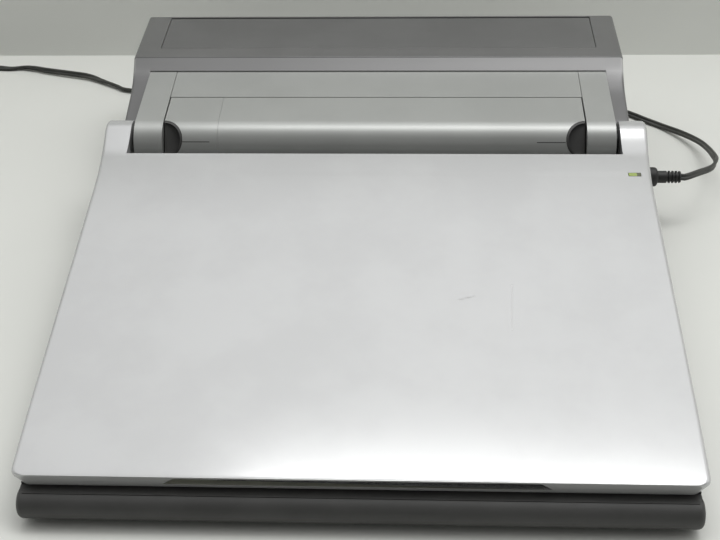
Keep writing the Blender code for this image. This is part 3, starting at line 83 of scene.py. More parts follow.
def makeCamera():
    data = bpy.data.cameras.new("tableView")
    data.sensor_fit = "HORIZONTAL"
    data.sensor_width, data.lens, data.shift_y = pick(cameraSettings, "sensor lens shift")
    data.clip_start, data.clip_end = cameraSettings["clip"]
    camera = added("tableView", data)
    right, down, forward = [Vector(value) for value in pick(cameraSettings, "right down forward")]
    turn = Matrix((right, -down, -forward)).transposed().to_4x4()
    camera.matrix_world = Matrix.Translation(cameraSettings["place"]) @ turn
    bpy.context.scene.camera = camera


makeCamera()
bpy.context.scene.view_settings.view_transform = "Standard"
print("camera placed")


# shader and geometry trees: sums on a Wire become nodes, and every other node comes from Graph.node
class Wire:
    def __init__(self, graph, socket):
        self.graph = graph
        self.socket = socket

    def maths(self, operation, *others, swapped=False):
        values = [*others, self] if swapped else [self, *others]
        return self.graph.node("ShaderNodeMath", {"operation": operation}, dict(enumerate(values)))

    def __add__(self, other):
        return self.maths("ADD", other)

    def __sub__(self, other):
        return self.maths("SUBTRACT", other)

    def __rsub__(self, other):
        return self.maths("SUBTRACT", other, swapped=True)

    def __mul__(self, other):
        return self.maths("MULTIPLY", other)

    def __abs__(self):
        return self.maths("ABSOLUTE")

    __radd__ = __add__
    __rmul__ = __mul__

    def above(self, edge):
        return self.maths("GREATER_THAN", edge)

    def below(self, edge):
        return self.maths("LESS_THAN", edge)

    def between(self, low, high):
        return self.above(low) * self.below(high)

    def ramp(self, low, high):
        # 0 under low, 1 over high, smooth in between
        sockets = {"Value": self, "From Min": low, "From Max": high}
        return self.graph.node("ShaderNodeMapRange", {"interpolation_type": "SMOOTHSTEP"}, sockets)


class Graph:
    def __init__(self, tree):
        self.tree = tree

    def node(self, kind, settings=(), sockets=(), output=0):
        made = self.tree.nodes.new(kind)
        for key, value in dict(settings).items():
            if key == "stops":
                for index, (place, colour) in enumerate(value):
                    point = made.color_ramp.elements[index]
                    point.position = place
                    point.color = (*colour, 1)
            else:
                setattr(made, key, value)
        for key, value in dict(sockets).items():
            if isinstance(value, Wire):
                self.tree.links.new(value.socket, made.inputs[key])
            else:
                made.inputs[key].default_value = value
        return Wire(self, made.outputs[output])


class Finish(Graph):
    # one material; its plain numbers sit on the shader's own sockets
    def __init__(self, name, colour, roughness, **sockets):
        self.material = bpy.data.materials.new(name)
        self.material.use_nodes = True
        super().__init__(self.material.node_tree)
        self.shader = self.tree.nodes["Principled BSDF"]
        self.shader.inputs["Base Color"].default_value = (*colour, 1)
        self.shader.inputs["Roughness"].default_value = roughness
        for key, value in sockets.items():
            self.shader.inputs[key.replace("_", " ")].default_value = value
        self.material.diffuse_color = (*colour, 1)
        self.where = self.node("ShaderNodeTexCoord", output="Object")

    def noise(self, scale, detail=3, roughness=0.6, where=None):
        sockets = {"Vector": where or self.where, "Scale": scale, "Detail": detail, "Roughness": roughness}
        return self.node("ShaderNodeTexNoise", {}, sockets)

    def axes(self):
        split = self.node("ShaderNodeSeparateXYZ", {}, {0: self.where})
        return [Wire(self, split.socket.node.outputs[index]) for index in range(3)]

    def mixed(self, share, first, second):
        first, second = [colour if isinstance(colour, Wire) else (*colour, 1) for colour in (first, second)]
        return self.node("ShaderNodeMix", {"data_type": "RGBA"}, {0: share, 6: first, 7: second}, 2)

    def mottled(self, light, dark, scale):
        # colour that drifts a little between two tones
        return self.mixed(self.noise(scale, 4).ramp(0.35, 0.65), dark, light)

    def feed(self, **wires):
        for name, wire in wires.items():
            self.tree.links.new(wire.socket, self.shader.inputs[name.replace("_", " ")])

    def grain(self, height, strength, distance):
        sockets = {"Strength": strength, "Distance": distance, "Height": height}
        self.feed(Normal=self.node("ShaderNodeBump", {}, sockets))


def scaled(colour, factor):
    return [value * factor for value in colour]


def paintedPlastic(name, colour, roughness, metallic, drift=0.03):
    # sprayed metallic paint: fine flake, slight haze, soft orange peel
    finish = Finish(name, colour, roughness, Metallic=metallic, Coat_Weight=0.12, Coat_Roughness=0.3)
    base = finish.mottled(scaled(colour, 1 + drift), scaled(colour, 1 - drift), 14)
    flake = finish.noise(5200, 1).ramp(0.42, 0.72)
    finish.sparkled = finish.mixed(flake * 0.10, base, scaled(colour, 1.35))
    finish.haze = finish.noise(9, 4) * 0.07 + (roughness - 0.035)
    finish.feed(Base_Color=finish.sparkled, Roughness=finish.haze)
    finish.grain(finish.noise(420, 2), 0.10, 0.0001)
    return finish


def grainedPlastic(name, colour, roughness, scale=1500, depth=0.00008, dust=0.12):
    # moulded plastic with a spark-eroded grain and a little dust
    finish = Finish(name, colour, roughness, Specular_IOR_Level=0.45)
    base = finish.mottled(scaled(colour, 1.10), scaled(colour, 0.92), 22)
    speck = finish.noise(900, 2).ramp(0.60, 0.78) * dust
    finish.feed(Base_Color=finish.mixed(speck, base, [value + 0.06 for value in colour]),
                Roughness=finish.noise(60, 3) * 0.12 + (roughness - 0.06))
    sockets = {"Vector": finish.where, "Scale": scale}
    finish.grain(finish.node("ShaderNodeTexVoronoi", {"feature": "SMOOTH_F1"}, sockets), 0.35, depth)
    return finish


# paint colours, and the places of marks, and of painted light and shade, on the closed machine
paintSettings = {
    "lid": (0.55, 0.555, 0.555),
    "dock": (0.395, 0.405, 0.39),
    "housing": (0.22, 0.22, 0.22),
    "cover": (0.20, 0.20, 0.20),
    "scuffPlace": (0.0657, -0.0844),
    "scuffSlope": 0.35,
    "scuffSpan": (0.0602, 0.0712),
    "scuffHalfWidth": 0.0007,
    "hairPlace": (0.0946, -0.092),
    "hairSlope": 0.048,
    "hairSpan": (-0.112, -0.0723),
    "hairHalfWidth": 0.0004,
    "wornFront": -0.2232,
    "wornHeights": (0.0318, 0.0336),
    "indexSpans": ((-0.143, -0.122), (0.121, 0.142)),
    "indexHeights": (0.06985, 0.07040),
    "indexColour": (0.05, 0.05, 0.048),
    "faceRear": 0.1640,
    "faceHeights": (0.0775, 0.0845),
    "shoulderRear": 0.1560,
    "shoulderHeights": (0.074, 0.0855),
    "shoulderInner": 0.1790,
    "chipHeights": (0.0104, 0.0150),
    "highChips": 0.0306,
    "windowSplit": (0.1893, 0.1901),
}


def makeLidPaint():
    paint = paintSettings
    finish = paintedPlastic("lidPaint", paint["lid"], 0.21, 0.35)
    x, y, z = finish.axes()
    # a faint scuff and a hair line near the middle, and wear along the front edge
    (scuffX, scuffY), (hairX, hairY) = pick(paint, "scuffPlace hairPlace")
    scuffLine = abs((y - scuffY) - (x - scuffX) * paint["scuffSlope"]).below(paint["scuffHalfWidth"])
    scuff = scuffLine * x.between(*paint["scuffSpan"]) * finish.noise(900, 2).above(0.46)
    hairLine = abs(x - hairX - (y - hairY) * paint["hairSlope"]).below(paint["hairHalfWidth"])
    scuff = scuff + hairLine * y.between(*paint["hairSpan"]) * 0.3
    edge = z.between(*paint["wornHeights"]) * y.below(paint["wornFront"]) * finish.noise(160, 3).above(0.60)
    worn = finish.mixed(scuff * 0.55, finish.sparkled, (0.30, 0.30, 0.29))
    finish.feed(Base_Color=finish.mixed(edge * 0.35, worn, (0.62, 0.62, 0.61)),
                Roughness=finish.haze + scuff * 0.2)
    return finish


def makeDockPaint():
    paint = paintSettings
    finish = paintedPlastic("dockPaint", paint["dock"], 0.34, 0.35)
    x, y, z = finish.axes()
    # two plain index lines printed on the scanner's front, near its ends
    left, right = paint["indexSpans"]
    front = y.below(hinge[0] - machineSettings["middleDepth"])
    marks = (x.between(*left) + x.between(*right)) * z.between(*paint["indexHeights"]) * front
    finish.feed(Base_Color=finish.mixed(marks, finish.sparkled, paint["indexColour"]))
    return finish


def makeHousingPaint():
    paint = paintSettings
    finish = paintedPlastic("housingPaint", paint["housing"], 0.40, 0.70, 0.05)
    x, y, z = finish.axes()
    # painted light: the leaning front face catches the light more than the top does, most at the right, so
    # its colour is painted lighter there
    face = y.below(paint["faceRear"]) * z.ramp(*paint["faceHeights"])
    litFaceColour = finish.mixed(face * (x * 1.2 + 0.75), finish.sparkled, scaled(paint["housing"], 2.7))
    # the scooped shoulders are duller, with less metal, and their colour is painted darker towards the foot
    # as shade
    footShade = 1 - z.ramp(*paint["shoulderHeights"])
    shoulder = y.below(paint["shoulderRear"]) * footShade * abs(x).above(paint["shoulderInner"])
    finish.feed(Base_Color=finish.mixed(shoulder, litFaceColour, scaled(paint["housing"], 0.68)),
                Metallic=0.70 - shoulder * 0.70)
    finish.grain(finish.noise(1300, 2), 0.22, 0.0001)
    return finish


def makeRubber():
    finish = Finish("mattRubber", (0.03, 0.03, 0.03), 0.85, Specular_IOR_Level=0.25)
    finish.feed(Base_Color=finish.mottled((0.045, 0.045, 0.044), (0.024, 0.024, 0.024), 120))
    finish.grain(finish.noise(2600, 2), 0.3, 0.00006)
    return finish


def makeSteel(name, colour, roughness):
    finish = Finish(name, colour, roughness, Metallic=1)
    brushed = finish.node("ShaderNodeMapping", {}, {"Vector": finish.where, "Scale": (1, 18, 18)})
    lines = finish.noise(40, 5, 0.7, brushed)
    finish.feed(Base_Color=finish.mixed(lines.ramp(0.3, 0.7), scaled(colour, 0.78), colour),
                Roughness=lines * 0.3 + (roughness - 0.1))
    finish.grain(lines, 0.15, 0.00004)
    return finish


def makeBoard():
    # green circuit board: tracks on a grid, pads, and black chip bodies above its face
    finish = Finish("circuitBoard", (0.03, 0.16, 0.07), 0.45)
    bricks = {"Vector": finish.where, "Scale": 240, "Mortar Size": 0.10, "Color1": (0.02, 0.13, 0.05, 1),
              "Color2": (0.03, 0.17, 0.07, 1), "Mortar": (0.10, 0.30, 0.10, 1)}
    tracks = finish.node("ShaderNodeTexBrick", {}, bricks)
    pads = finish.node("ShaderNodeTexVoronoi", {}, {"Vector": finish.where, "Scale": 330}).below(0.16)
    soldered = finish.mixed(pads, tracks, (0.55, 0.56, 0.55))
    z = finish.axes()[2]
    chips = z.between(*paintSettings["chipHeights"]) + z.above(paintSettings["highChips"])
    finish.feed(Base_Color=finish.mixed(chips, soldered, (0.03, 0.03, 0.03)),
                Roughness=finish.noise(80, 2) * 0.2 + 0.35)
    finish.grain(pads, 0.3, 0.0001)
    return finish


def makeLens():
    # small status window: a lit yellow-green end and a dark olive end
    finish = Finish("indicatorLens", (0.40, 0.50, 0.13), 0.18, Coat_Weight=0.6)
    lit = 1 - finish.axes()[0].ramp(*paintSettings["windowSplit"])
    glow = finish.noise(700, 2) * 0.25 + 0.85
    green = finish.mixed(glow.ramp(0.85, 1.1), (0.27, 0.36, 0.07), (0.36, 0.46, 0.10))
    finish.feed(Base_Color=finish.mixed(lit, (0.08, 0.09, 0.035), green), Roughness=lit * 0.1 + 0.15)
    return finish


def makeGlass():
    finish = Finish("displayGlass", (0.035, 0.045, 0.035), 0.08, Coat_Weight=0.5)
    rows = finish.node("ShaderNodeTexWave", {"bands_direction": "Y"}, {"Vector": finish.where, "Scale": 160})
    finish.feed(Base_Color=finish.mixed(rows * 0.15, (0.10, 0.125, 0.095), (0.13, 0.155, 0.115)),
                Roughness=finish.noise(30, 2) * 0.06 + 0.06)
    return finish


def makeLeadSheath():
    finish = Finish("leadSheath", (0.045, 0.046, 0.040), 0.48)
    finish.feed(Base_Color=finish.mottled((0.056, 0.057, 0.050), (0.036, 0.037, 0.033), 60),
                Roughness=finish.noise(140, 3) * 0.2 + 0.36)
    finish.grain(finish.noise(1800, 2), 0.18, 0.00005)
    return finish


finishes = {
    "silver": makeLidPaint(),
    "silver_dock": makeDockPaint(),
    "grey": makeHousingPaint(),
    "dark": grainedPlastic("darkPlastic", (0.056, 0.056, 0.054), 0.50),
    "black": grainedPlastic("blackPlastic", (0.026, 0.026, 0.025), 0.52, 1900),
    "rubber": makeRubber(),
    "steel": makeSteel("brushedSteel", (0.52, 0.52, 0.53), 0.34),
    "board": makeBoard(),
    "keycap": grainedPlastic("keyPlastic", (0.30, 0.305, 0.30), 0.52, 1700, 0.00006, 0.06),
    "led": makeLens(),
    "glass": makeGlass(),
}
darkSteel = makeSteel("blackenedSteel", (0.05, 0.05, 0.052), 0.42)
# the cut faces of the scoop and of the window slot are darker and greener than the lid's paint: painted shade
# in these recesses
scoopPlastic = grainedPlastic("scoopPlastic", (0.44, 0.44, 0.39), 0.42)
leadSheath = makeLeadSheath()
coverPaint = paintedPlastic("coverPaint", paintSettings["cover"], 0.42, 0.70, 0.05)
print("finishes made:", len(finishes) + 4)

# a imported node's material has its slot's name, apart from any number after a dot: it picks the finish
slotNames = {name: node.data.materials[0].name.split(".")[0] for name, node in nodes.items()}
for name, slotName in slotNames.items():
    look = darkSteel if name.startswith("hinge_pin") else finishes[slotName]
    nodes[name].data.materials.clear()
    nodes[name].data.materials.append(look.material)
print("carried-over nodes finished")


# mesh helpers
def spread(low, high, steps):
    return [low + (high - low) * step / steps for step in range(steps + 1)]


def eased(share):
    share = min(max(share, 0), 1)
    return share * share * (3 - 2 * share)


def curveAt(a, b, c, d, t):
    # between b and c on a smooth curve through all four
    return (2 * b + (c - a) * t + (2 * a - 5 * b + 4 * c - d) * t * t + (3 * b - a - 3 * c + d) * t ** 3) / 2


def arc(centre, radius, start, end, steps):
    angles = [math.radians(angle) for angle in spread(start, end, steps)]
    return [(centre[0] + radius * math.cos(a), centre[1] + radius * math.sin(a)) for a in angles]


def quarter(radius, steps):
    # how far a rounded edge pulls its outline in, and its end back, from the end face to the flank
    angles = spread(0, math.pi / 2, steps)
    return [(radius * (1 - math.sin(a)), radius * (1 - math.cos(a))) for a in angles]


def rectangle(low, high):
    return [(low[0], low[1]), (high[0], low[1]), (high[0], high[1]), (low[0], high[1])]


def roundedBox(halfX, halfY, radius, steps=4):
    points = []
    for turn, (sideX, sideY) in enumerate(((1, 1), (-1, 1), (-1, -1), (1, -1))):
        centre = (sideX * (halfX - radius), sideY * (halfY - radius))
        points += arc(centre, radius, 90 * turn, 90 * turn + 90, steps)
    return points


def inset(outline, depth):
    count = len(outline)
    area = sum(outline[i - 1][0] * outline[i][1] - outline[i][0] * outline[i - 1][1] for i in range(count))
    turn = 1 if area > 0 else -1
    moved = []
    for index in range(count):
        here = Vector(outline[index])
        first = (here - Vector(outline[index - 1])).normalized()
        second = (Vector(outline[(index + 1) % count]) - here).normalized()
        bisector = Vector((-first.y - second.y, first.x + second.x)) * turn
        moved.append(tuple(here + bisector * depth * 2 / bisector.length_squared))
    return moved


def loft(loops):
    mesh = bmesh.new()
    rings = [[mesh.verts.new(point) for point in loop] for loop in loops]
    for near, far in zip(rings, rings[1:]):
        for index, corner in enumerate(near):
            after = (index + 1) % len(near)
            mesh.faces.new((corner, near[after], far[after], far[index]))
    mesh.faces.new(list(reversed(rings[0])))
    mesh.faces.new(rings[-1])
    return mesh


def stacked(axis, levels):
    # outlines across an axis, each at its own reach along it
    order = {"x": (2, 0, 1), "y": (0, 2, 1), "z": (0, 1, 2)}[axis]
    loops = []
    for outline, reach in levels:
        loops.append([[(a, b, reach)[index] for index in order] for a, b in outline])
    return loft(loops)


def prism(outline, axis, low, high):
    return stacked(axis, [(outline, low), (outline, high)])


def block(low, high):
    return prism(rectangle(low, high), "z", low[2], high[2])


def turned(axis, centre, profile, sides):
    return stacked(axis, [(arc(centre, radius, 0, 360, sides)[:-1], reach) for radius, reach in profile])


def rod(axis, centre, radius, low, high, sides=32):
    return turned(axis, centre, [(radius, low), (radius, high)], sides)


def roundedPrism(outline, axis, low, high, rounding, steps):
    ends = quarter(rounding, steps)
    levels = [(inset(outline, depth), low + back) for depth, back in ends]
    return stacked(axis, levels + [(inset(outline, depth), high - back) for depth, back in reversed(ends)])


def meshData(name, mesh):
    data = bpy.data.meshes.new(name)
    mesh.to_mesh(data)
    mesh.free()
    return data


def objectOf(name, mesh, look=None):
    bmesh.ops.recalc_face_normals(mesh, faces=mesh.faces)
    item = added(name, meshData(name, mesh))
    if look:
        item.data.materials.append(look.material)
    return item


def taken(item):
    # the object's mesh for further work, without the object
    mesh = bmesh.new()
    mesh.from_mesh(item.data)
    bpy.data.objects.remove(item, do_unlink=True)
    return mesh


def together(*meshes):
    # several closed shells in one bmesh
    whole = bmesh.new()
    for mesh in meshes:
        bmesh.ops.recalc_face_normals(mesh, faces=mesh.faces)
        data = meshData("together", mesh)
        whole.from_mesh(data)
        bpy.data.meshes.remove(data)
    return whole


def settle(item):
    # the modifiers' result becomes the object's own plain mesh
    graph = bpy.context.evaluated_depsgraph_get()
    baked = bpy.data.meshes.new_from_object(item.evaluated_get(graph), depsgraph=graph)
    old = item.data
    item.modifiers.clear()
    item.data = baked
    bpy.data.meshes.remove(old)


def joined(item, mesh, operation, look=None):
    tool = objectOf(item.name + "Tool", mesh, look)
    step = item.modifiers.new("join", "BOOLEAN")
    step.operation = operation
    step.object = tool
    step.solver = "EXACT"
    step.material_mode = "TRANSFER" if look else "INDEX"
    settle(item)
    bpy.data.objects.remove(tool, do_unlink=True)


def cut(item, mesh, look=None):
    joined(item, mesh, "DIFFERENCE", look)


def fuse(item, mesh):
    joined(item, mesh, "UNION")


def dressed(item, body, slotName, replaced, bevel=0.0003, sharp=32, place=machinePlace, segments=2):
    # last steps of every piece: its place goes into its mesh, edges get their bevel, then it rides
    item.data.transform(place)
    item.data.shade_smooth()
    item.data.set_sharp_from_angle(angle=math.radians(sharp))
    if not item.data.materials:
        item.data.materials.append(finishes[slotName].material)
    if bevel:
        edge = item.modifiers.new("edges", "BEVEL")
        edge.width = bevel
        edge.segments = segments
        edge.limit_method = "ANGLE"
        edge.angle_limit = math.radians(sharp)
        edge.harden_normals = True
        edge.miter_outer = "MITER_ARC"
    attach(item, body)
    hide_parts(*replaced)
    return item


# lid: crowned shell with drafted sides, a barrel ear at each rear corner, a finger scoop in front
lidSettings = {
    "top": 0.011,
    "thickness": 0.0132,
    "sideRounding": 0.003,
    "sideDraft": 0.0045,
    "frontDraft": 0.002,
    "draftFade": 0.1,
    "cornerRadius": 0.006,
    "crownDrop": 0.0018,
    "crownLength": 0.070,
    "wall": 0.002,
    "rimWall": 0.0045,
    "frontWall": 0.0085,
    "rearEdge": -0.028,
    "earWidth": 0.0175,
    "earFlare": 0.0026,
    "earFlareStart": -0.062,
    "earRadius": 0.0158,
    "earFrontAngle": 18.5,
    "earRearAngle": 36,
    "scoopHalfWidth": 0.112,
    "scoopSlant": 0.007,
    "scoopLow": 0.0008,
    "scoopHigh": 0.0074,
    "scoopDepth": 0.005,
    "pinBore": 0.0038,
    "pinReach": 0.1974,
    "window": (0.1882, -0.0507),
    "windowSize": (0.0092, 0.0040),
    "windowDepth": 0.0018,
    "windowRise": 0.0002,
    "bevel": 0.0007,
    "sharp": 34,
}
lidTop = lidSettings["top"]
lidUnder = lidTop - lidSettings["thickness"]
earInnerX = halfWidth - lidSettings["earWidth"]
cavityHalfX = halfWidth - lidSettings["sideDraft"] - lidSettings["rimWall"] / 2
cavityFrontY = -lidLength + lidSettings["frontWall"]
cavityRearY = lidSettings["rearEdge"] - lidSettings["wall"]


def lidCrown(y):
    reach = (y + lidLength) / lidSettings["crownLength"]
    return lidSettings["crownDrop"] * (1 - reach) ** 2 if reach < 1 else 0


def lidEdge(y):
    start = lidSettings["earFlareStart"]
    return halfWidth + lidSettings["earFlare"] * eased((y - start) / -start)


def lidSection(y, inward=0, sheared=0):
    width, top = lidEdge(y) - inward, lidTop - lidCrown(y)
    half = [(width - lidSettings["sideDraft"], lidUnder)]
    half += [(width - back, top - down) for down, back in quarter(lidSettings["sideRounding"], 6)]
    loop = half + [(-across, up) for across, up in reversed(half)]
    return [(a, y + sheared * (top - b) / lidSettings["thickness"], b) for a, b in loop]


def earProfile():
    # the lid's top curves up into the barrel, and the barrel closes on the lid's own thickness
    start = cavityRearY
    radius, front, rear = pick(lidSettings, "earRadius earFrontAngle earRearAngle")
    lean = math.radians(front)
    meetY, meetZ = -radius * math.sin(lean), radius * math.cos(lean)
    bend = meetY - (meetZ - lidTop) / math.tan(lean)
    profile = [(start, lidUnder), (start, lidTop)]
    for share in spread(0, 1, 12)[1:-1]:
        y = start * (1 - share) ** 2 + bend * 2 * share * (1 - share) + meetY * share ** 2
        profile.append((y, lidTop + (meetZ - lidTop) * share ** 2))
    profile += arc((0, 0), radius, 90 + front, 90 - rear, 16)
    profile += arc((0, 0), lidTop, 90 - rear - math.degrees(math.acos(lidTop / radius)), -90, 16)
    merge = math.degrees(math.asin(lidUnder / lidTop))
    return profile + arc((0, 0), lidTop, -100, -180 - merge, 12)


def lidEar(side):
    profile = earProfile()
    loops = []
    for depth, back in quarter(lidSettings["sideRounding"], 6):
        loops.append([(side * (lidEdge(a) - back), a, b) for a, b in inset(profile, depth)])
    return loft(loops + [[(side * earInnerX, a, b) for a, b in profile]])


def windowBox(shrink, rise):
    (x, y), (wide, deep), drop = pick(lidSettings, "window windowSize windowDepth")
    halfX, halfY = wide / 2 - shrink, deep / 2 - shrink
    return block((x - halfX, y - halfY, lidTop - drop + shrink), (x + halfX, y + halfY, lidTop + rise))


def makeLid():
    lid = lidSettings
    corner, fade = lid["cornerRadius"], lid["draftFade"]
    loops = []
    for step, (inward, back) in enumerate(quarter(corner, 8)):
        loops.append(lidSection(-lidLength + back, inward, lid["frontDraft"] * (1 - fade * step)))
    crowned = spread(-lidLength + corner, -lidLength + lid["crownLength"], 14)[1:]
    loops += [lidSection(y) for y in crowned + spread(lid["earFlareStart"], lid["rearEdge"], 8)]
    shell = objectOf("lidShell", loft(loops), finishes["silver"])
    for side in (-1, 1):
        fuse(shell, lidEar(side))
    cut(shell, block((-cavityHalfX, cavityFrontY, lidUnder - overrun),
                     (cavityHalfX, cavityRearY, lidTop - lid["wall"])))
    half, slant, low, high = pick(lid, "scoopHalfWidth scoopSlant scoopLow scoopHigh")
    scoop = [(-half + slant, high), (-half, low), (half, low), (half - slant, high)]
    # the scoop's cut faces take the darker recess plastic, as painted shade
    cut(shell, prism(scoop, "y", -lidLength - overrun, -lidLength + lid["scoopDepth"]), scoopPlastic)
    for side in (-1, 1):
        ends = sorted((side * (earInnerX - overrun), side * lid["pinReach"]))
        cut(shell, rod("x", (0, 0), lid["pinBore"], *ends))
    # the window slot's walls take the same darker plastic, as painted shade
    cut(shell, windowBox(0, overrun), scoopPlastic)
    dressed(shell, "lid", "silver", ["lid_shell"], lid["bevel"], lid["sharp"], deckPlace, 3)
    window = objectOf("statusWindow", windowBox(seam, lid["windowRise"]))
    dressed(window, "lid", "led", ["indicator_window"], sharp=lid["sharp"], place=deckPlace)


makeLid()
print("lid made")

# display: a bezel with a chamfered opening closes the lid's underside
displaySettings = {
    "level": 0.0015,
    "thickness": 0.002,
    "opening": (0.1075, 0.081),
    "middle": -0.1648,
    "chamfer": 0.0011,
    "chamferSpread": 1.4,
    "cornerRadius": 0.0015,
    "screwCap": 0.0036,
    "screwCapDepth": 0.0006,
    "screwCapOverrun": 0.001,
    "screwX": 0.184,
    "screwInset": 0.010,
}


def makeDisplay():
    show = displaySettings
    level, thick, middle, chamfer = pick(show, "level thickness middle chamfer")
    low, high = cavityFrontY + seam, cavityRearY - seam
    outline = rectangle((-cavityHalfX + seam, low), (cavityHalfX - seam, high))
    bezel = objectOf("displayBezel", prism(outline, "z", level, level + thick))
    levels = []
    for grow, reach in ((chamfer * show["chamferSpread"], level - seam), (0, level + chamfer),
                        (0, level + thick + seam)):
        wide, deep, corner = [size + grow for size in (*show["opening"], show["cornerRadius"])]
        levels.append(([(x, y + middle) for x, y in roundedBox(wide, deep, corner)], reach))
    cut(bezel, stacked("z", levels))
    radius, depth, outward = pick(show, "screwCap screwCapDepth screwCapOverrun")
    for x in (-show["screwX"], show["screwX"]):
        for y in (low + show["screwInset"], high - show["screwInset"]):
            cut(bezel, rod("z", (x, y), radius, level - outward, level + depth, 24))
    dressed(bezel, "lid", "dark", ["display_frame"], place=deckPlace)


makeDisplay()
print("display made")

# lower case: a tray whose front edge is a full round bar, with a disk slot and rear vents
caseSettings = {
    "clearance": 0.003,
    "wall": 0.0025,
    "rear": 0.463,
    "seamHeight": 0.0432,
    "barCentre": (-0.0008, 0.0125),
    "barRadius": 0.0095,
    "barTopShare": 0.97,
    "barHalfWidth": 0.1974,
    "barRounding": 0.0035,
    "lidGap": 0.0004,
    "deckFront": 0.0052,
    "deckRear": 0.2895,
    "deckThickness": 0.0025,
    "jack": (0.3035, 0.0380),
    "jackBore": 0.0045,
    "slot": (0.12475, 0.21675, 0.0143, 0.0193),
    "eject": (0.2025, 0.2121, 0.0085, 0.0127),
    "ventCount": 8,
    "ventPitch": 0.012,
    "ventSize": (0.003, 0.014),
    "ventRise": 0.014,
    "ventEdge": 0.0002,
    "topGroove": (0.0022, 0.0005, 0.0006),
}
deckUnder = (lidUnder - caseSettings["lidGap"]) / math.cos(lidRise)


def deckHeight(y):
    return hinge[1] + deckUnder + math.tan(lidRise) * (y - hinge[0])


# an even grid of one object: rows of keys and vents
def evenGridTree():
    tree = bpy.data.node_groups.new("evenGrid", "GeometryNodeTree")
    kinds = {"Unit": "Object", "Columns": "Int", "Rows": "Int", "Pitch Across": "Float",
             "Pitch Along": "Float", "Start": "Vector", "Finish": "Material"}
    names = {}
    for name, kind in kinds.items():
        made = tree.interface.new_socket(name, in_out="INPUT", socket_type="NodeSocket" + kind)
        names[name] = made.identifier
    tree.interface.new_socket("Grid", in_out="OUTPUT", socket_type="NodeSocketGeometry")
    graph = Graph(tree)
    source = tree.nodes.new("NodeGroupInput")
    given = {name: Wire(graph, source.outputs[name]) for name in kinds}
    across = graph.node("ShaderNodeCombineXYZ", {}, {"X": given["Pitch Across"]})
    depth = graph.node("ShaderNodeCombineXYZ", {}, {"Y": given["Pitch Along"]})
    columns = graph.node("GeometryNodeMeshLine", {}, {"Count": given["Columns"], "Offset": across})
    rows = graph.node("GeometryNodeMeshLine", {}, {"Count": given["Rows"], "Offset": depth,
                                                   "Start Location": given["Start"]})
    lines = graph.node("GeometryNodeInstanceOnPoints", {}, {"Points": rows, "Instance": columns})
    places = graph.node("GeometryNodeRealizeInstances", {}, {0: lines})
    unit = graph.node("GeometryNodeObjectInfo", {}, {"Object": given["Unit"]}, "Geometry")
    units = graph.node("GeometryNodeInstanceOnPoints", {}, {"Points": places, "Instance": unit})
    solid = graph.node("GeometryNodeRealizeInstances", {}, {0: units})
    painted = graph.node("GeometryNodeSetMaterial", {}, {"Geometry": solid, "Material": given["Finish"]})
    sink = tree.nodes.new("NodeGroupOutput")
    tree.links.new(painted.socket, sink.inputs[0])
    return tree, names


gridTree, gridInputs = evenGridTree()


def gridMesh(unitMesh, columns, rows, pitchAcross, pitchAlong, start, look):
    unit = objectOf("gridUnit", unitMesh, look)
    holder = added("gridHolder", bpy.data.meshes.new("gridHolder"))
    maker = holder.modifiers.new("grid", "NODES")
    maker.node_group = gridTree
    values = {"Unit": unit, "Columns": columns, "Rows": rows, "Pitch Across": pitchAcross,
              "Pitch Along": pitchAlong, "Start": start, "Finish": look.material}
    for name, value in values.items():
        maker[gridInputs[name]] = value
    settle(holder)
    bpy.data.objects.remove(unit, do_unlink=True)
    return taken(holder)


def makeCase():
    case = caseSettings
    low, wall, rear, height, radius = pick(case, "clearance wall rear seamHeight barRadius")
    front, deckRear, centre, barHalf = pick(case, "deckFront deckRear barCentre barHalfWidth")
    barTop = centre[1] + radius * case["barTopShare"]
    halfX = machineSettings["caseHalfWidth"]
    drop = case["deckThickness"] + seam
    outline = [(centre[0], low), (centre[0], barTop), (front - seam, barTop),
               (front - seam, deckHeight(front) - drop), (deckRear, deckHeight(deckRear) - drop),
               (deckRear, height), (rear, height)]
    outline += arc((rear - wall, low + wall), wall, 0, -90, 6)
    tray = objectOf("lowerCase", prism(outline, "x", -halfX, halfX))
    ends = [(radius - depth, barHalf - back) for depth, back in quarter(case["barRounding"], 10)]
    fuse(tray, turned("x", centre, [(r, -x) for r, x in ends] + ends[::-1], 96))
    hollow = arc(centre, radius - wall, 270, 90, 24)
    top = deckHeight(deckRear) + overrun
    hollow += [(front + wall, low + 2 * radius - wall), (front + wall, top), (rear - wall, top),
               (rear - wall, low + wall)]
    inside, outside = halfX - wall, barHalf + overrun
    cut(tray, prism(hollow, "x", -inside, inside))
    openings = [rod("x", case["jack"], case["jackBore"], inside - overrun, outside, 40)]
    for near, far, bottom, ceiling in (case["slot"], case["eject"]):
        openings.append(block((inside - overrun, near, bottom), (outside, far, ceiling)))
    forward, width, depth = case["topGroove"]
    reach, groove = barHalf - case["barRounding"], centre[0] - forward
    openings.append(block((-reach, groove, centre[1] + radius - depth),
                          (reach, groove + width, centre[1] + radius + overrun)))
    width, height = case["ventSize"]
    slot = roundedBox(width / 2, height / 2, (width - case["ventEdge"]) / 2)
    slotMesh = roundedPrism(slot, "z", -overrun, overrun, case["ventEdge"], 1)
    bmesh.ops.rotate(slotMesh, matrix=Matrix.Rotation(math.pi / 2, 3, "X"), verts=slotMesh.verts)
    start = (-case["ventPitch"] * (case["ventCount"] - 1) / 2 + width / 2, rear - wall / 2,
             case["ventRise"] + height / 2)
    openings.append(gridMesh(slotMesh, case["ventCount"], 1, case["ventPitch"], 0, start, finishes["dark"]))
    cut(tray, together(*openings))
    dressed(tray, "base", "dark", ["lower_case"], sharp=30)


makeCase()
print("case made")

